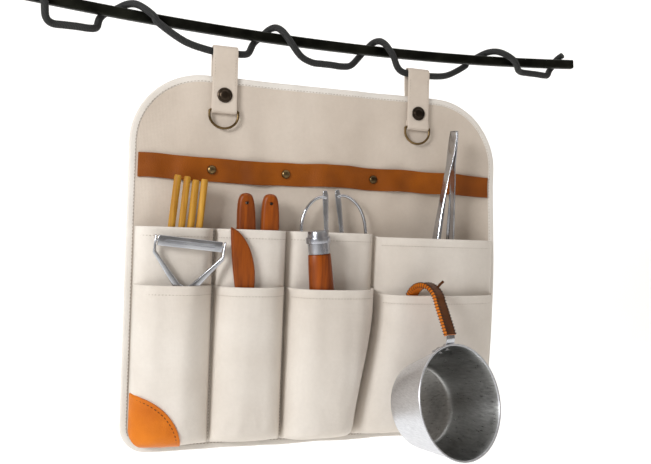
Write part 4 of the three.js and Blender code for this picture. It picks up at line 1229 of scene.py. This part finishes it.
print("cup of", 2 * CUP_RIM, "mm at the rim")

# %% [markdown]
# The bowl is pressed aluminium with a rolled rim and slightly dented walls. It is turned from one
# outline, outside, rim and inside; a little noise then moves the walls, since a spun shape alone
# looks new. The inside's faces take a second, darker finish, which is painted shade inside the bowl.

# %% The bowl
outside = [(0, -57.2), (20, -57.5), (36, -57.7), (38.6, -57.4), (40.6, -56.4), (42.0, -54.4)]
outside += [(wall(z), z) for z in (-50, -44, -38, -32, -26, -20, -14, -8, -4)] + [(wall(-1.9) + 0.1, -1.9)]
rim = [(54.7, -1.7), (55.2, -1.2), (55.3, -0.6), (55.0, -0.1), (54.3, 0.0), (53.5, -0.3), (53.1, -1.4)]
inside = [(wall(z) - 1.2, z) for z in (-4, -8, -14, -20, -26, -32, -38, -44, -50)]
inside += [(41.0, -53.2), (39.6, -55.4), (37.4, -56.3), (20, -56.3), (0, -56.0)]
verts, faces = turned(mm(outside + rim + inside), 96)
for v in verts:
    r = math.hypot(v.x, v.y) * 1000
    if 20 < r < 54:
        dent = 0.28 * noise.noise(Vector((v.x * 38, v.y * 38, v.z * 30)))
        v.x, v.y = v.x * (1 + dent / r), v.y * (1 + dent / r)
bowl = give("metal_cup", placed(verts, cup_at), faces, "cup", "cup", "cup_bowl")
# the darker finish of the inside faces is painted shade
bowl.data.materials.append(MAT["cup_inside"])
back = cup_at.inverted()
for poly in bowl.data.polygons:
    x, y, z = (1000 * c for c in back @ poly.center)
    if -56.6 < z < -0.9 and math.hypot(x, y) < wall(z) - 0.6:
        poly.material_index = 1
print("bowl of", len(bowl.data.polygons), "faces")

# %% [markdown]
# The handle is a strip of steel riveted to the wall. It rises past the rim and bends back over the
# pocket's edge, so it is also the hook. A flat section is carried along the bend's smooth line.

# %% The hook
HOOK_REACH, HOOK_BEND = 118.0, 21.6  # how far the hook goes from the cup's axis, and its radius


def flat_wall(z):
    """The distance of the strip's middle from the cup's axis where it lies on the wall."""
    return wall(z) + 1.6


def strip(path, width, thick, corner, wobble=0.0):
    """A flat bar along a path in the plane y = 0; wobble makes its size uneven."""
    rings = []
    for i, v in enumerate(path):
        along = (path[min(i + 1, len(path) - 1)] - path[max(i - 1, 0)]).normalized()
        out = along.cross(Vector((0, 1, 0))).normalized()
        swell = 1 + wobble * noise.noise(v * 160)
        section = rounded(width, thick, corner)
        rings.append([v + (Vector((0, s, 0)) + out * o) * swell / 1000 for s, o in section])
    return tube(rings)


straight = HOOK_REACH - HOOK_BEND
hook = [(flat_wall(-24), -24), (flat_wall(-6), -6), (flat_wall(-6) + 3.2, -2.6), (flat_wall(-6) + 9, -1.4),
        (82, -5), (straight, -8)]
hook += arc(straight, -8 - HOOK_BEND, HOOK_BEND, 75, -90, 14) + [(straight - 7, -10.4 - 2 * HOOK_BEND)]
path = smooth_line([Vector((a, 0, b)) / 1000 for a, b in hook], 5)
tool("hook_strip", strip(path, 11.0, 1.6, 0.6), cup_at, "steel", "cup", "cup_handle")
print("hook with", len(path), "rings")

# %% [markdown]
# The hook is wrapped in orange leather, whip-stitched along both edges. The wrap is the same bar
# made thicker and uneven, which is how leather lies over a strip. Its outer side is darker, and a
# short tail stands out near the top.

# %% The hook's leather
DARK_SIDE = (2, 3, 4)                # of the section's 16 faces, those on the bend's outer side
WHIP_PITCH = 3.1
covered = smooth_line([Vector((a, 0, b)) / 1000 for a, b in hook[3:-1]], 6)
wrap = tool("hook_leather", strip(covered, 14.2, 4.8, 1.8, 0.05), cup_at, "orange", "cup", "cup_handle_wrap")
wrap.data.materials.append(MAT["dark_leather"])
for poly in wrap.data.polygons:
    if poly.index % 16 in DARK_SIDE:
        poly.material_index = 1
tail = [Vector(v) / 1000 for v in ((112.5, -4.6, -12.5), (115.5, -7.5, -11.2), (118, -10.5, -9.0))]
verts, faces = sweep(tail, mm(rounded(2.6, 2.2, 0.8, 2)), twist=[Vector((0, 0, 1))] * 3)
give("hook_tail", placed(verts, cup_at), faces, "dark_leather", "cup")

# across, out and along, for one whip stitch from the outer side round the edge to the inner side
WHIP = ((3.8, 2.5, -0.9), (5.8, 2.55, -0.5), (7.0, 1.95, 0), (7.25, 0, 0.2), (7.0, -1.95, 0.4),
        (5.8, -2.55, 0.6))
shapes, run, want = [], 0.0, 1.2
for a, b in zip(covered, covered[1:]):
    step = (b - a).length * 1000
    along = (b - a).normalized()
    out = along.cross(Vector((0, 1, 0))).normalized()
    while want < run + step:
        c = a.lerp(b, (want - run) / step)
        for s in (1, -1):
            line = [c + (Vector((0, s * y, 0)) + out * o + along * t) / 1000 for y, o, t in WHIP]
            shapes.append(sweep(line, mm(circle(0.42, 6)), twist=[out * 0.8 + along * 0.2] * 6))
        want += WHIP_PITCH
    run += step
verts, faces = joined(*shapes)
give("whip_stitches", placed(verts, cup_at), faces, "dark_thread_and_shade", "cup")
print("leather with", len(shapes), "whip stitches")

# %% [markdown]
# Two rivets hold the strip to the wall. Each is turned, with a low dome outside and a flat head
# inside, and is placed square to the cup's side.

# %% The cup's rivets
CUP_RIVETS = (-9, -19)
for i, z in enumerate(CUP_RIVETS):
    w, f = wall(z), flat_wall(z)
    shape = [(0, w - 2.7), (2.6, w - 2.6), (3.0, w - 2.3), (3.0, w - 2.05), (1.6, w - 2.05), (1.6, f + 0.85),
             (3.0, f + 0.85), (2.9, f + 1.4), (2.2, f + 2.1), (1.1, f + 2.45), (0, f + 2.5)]
    up = cup_at @ Matrix.Translation((0, 0, z / 1000)) @ Matrix.Rotation(math.pi / 2, 4, "Y")
    tool(f"cup_stud_{i + 1}", turned(mm(shape), 20), up, "steel", "cup", f"cup_rivet_{i + 1}")
print("cup rivets at", CUP_RIVETS)

# %% [markdown]
# ## Floor and light
# The panel is one hung sheet and each pocket row another. The cord hangs limp from the rail.

print("panel, pockets and cord are built")

# %% [markdown]
# The object hangs before a pale wall that curves into the floor. One swept sheet makes both, because
# a curve hides the line between them. It glows a little, so that it stays pale.

# %% Floor
FLOOR_Z, WALL_Y, COVE = -0.62, 1.4, 0.5
pale, _, shader = new_material("pale_floor")
for socket, value in (("Base Color", (0.86, 0.86, 0.85, 1)), ("Roughness", 0.9),
                      ("Emission Color", (1, 1, 1, 1)), ("Emission Strength", 0.34)):
    shader.inputs[socket].default_value = value
MAT["floor"] = pale
profile = [(-2.5, FLOOR_Z), (WALL_Y - COVE, FLOOR_Z)]
profile += arc(WALL_Y - COVE, FLOOR_Z + COVE, COVE, -90, 0, 12)[1:] + [(WALL_Y, 4.5)]
floor = give("floor", *grid([[Vector((x, y, z)) for y, z in profile] for x in (-9, 9)]), "floor", None)
print("floor at", FLOOR_Z)

# %% [markdown]
# A small key lamp stands close on the left and gives the folds their crisp shadows. A wide warm
# lamp fills from the right, and a third one lights the wall.

# %% Lights
def lamp(name, where, towards, size, power, colour):
    data = bpy.data.lights.new(name, "AREA")
    data.size, data.energy, data.color = size, power, colour
    obj = bpy.data.objects.new(name, data)
    obj.location = where
    obj.rotation_euler = (Vector(towards) - Vector(where)).to_track_quat("-Z", "Y").to_euler()
    bpy.context.collection.objects.link(obj)


lamp("key", (-1.0, -0.72, 0.2), (-0.02, 0, -0.25), 0.4, 10.8, (0.97, 0.985, 1))
lamp("fill", (1.4, -1.5, 0.1), (0.05, 0, -0.25), 1.2, 0.9, (1, 0.84, 0.70))
lamp("wall_wash", (0.8, 0.35, 1.5), (0.8, 1.5, -0.2), 2.6, 26, (1, 1, 1))
world = bpy.data.worlds.new("world")
world.use_nodes = True
world.node_tree.nodes["Background"].inputs["Color"].default_value = (1, 0.93, 0.86, 1)
world.node_tree.nodes["Background"].inputs["Strength"].default_value = 0.23
bpy.context.scene.world = world
bpy.context.scene.view_settings.view_transform = "Standard"
print("three lamps and a dim warm sky")
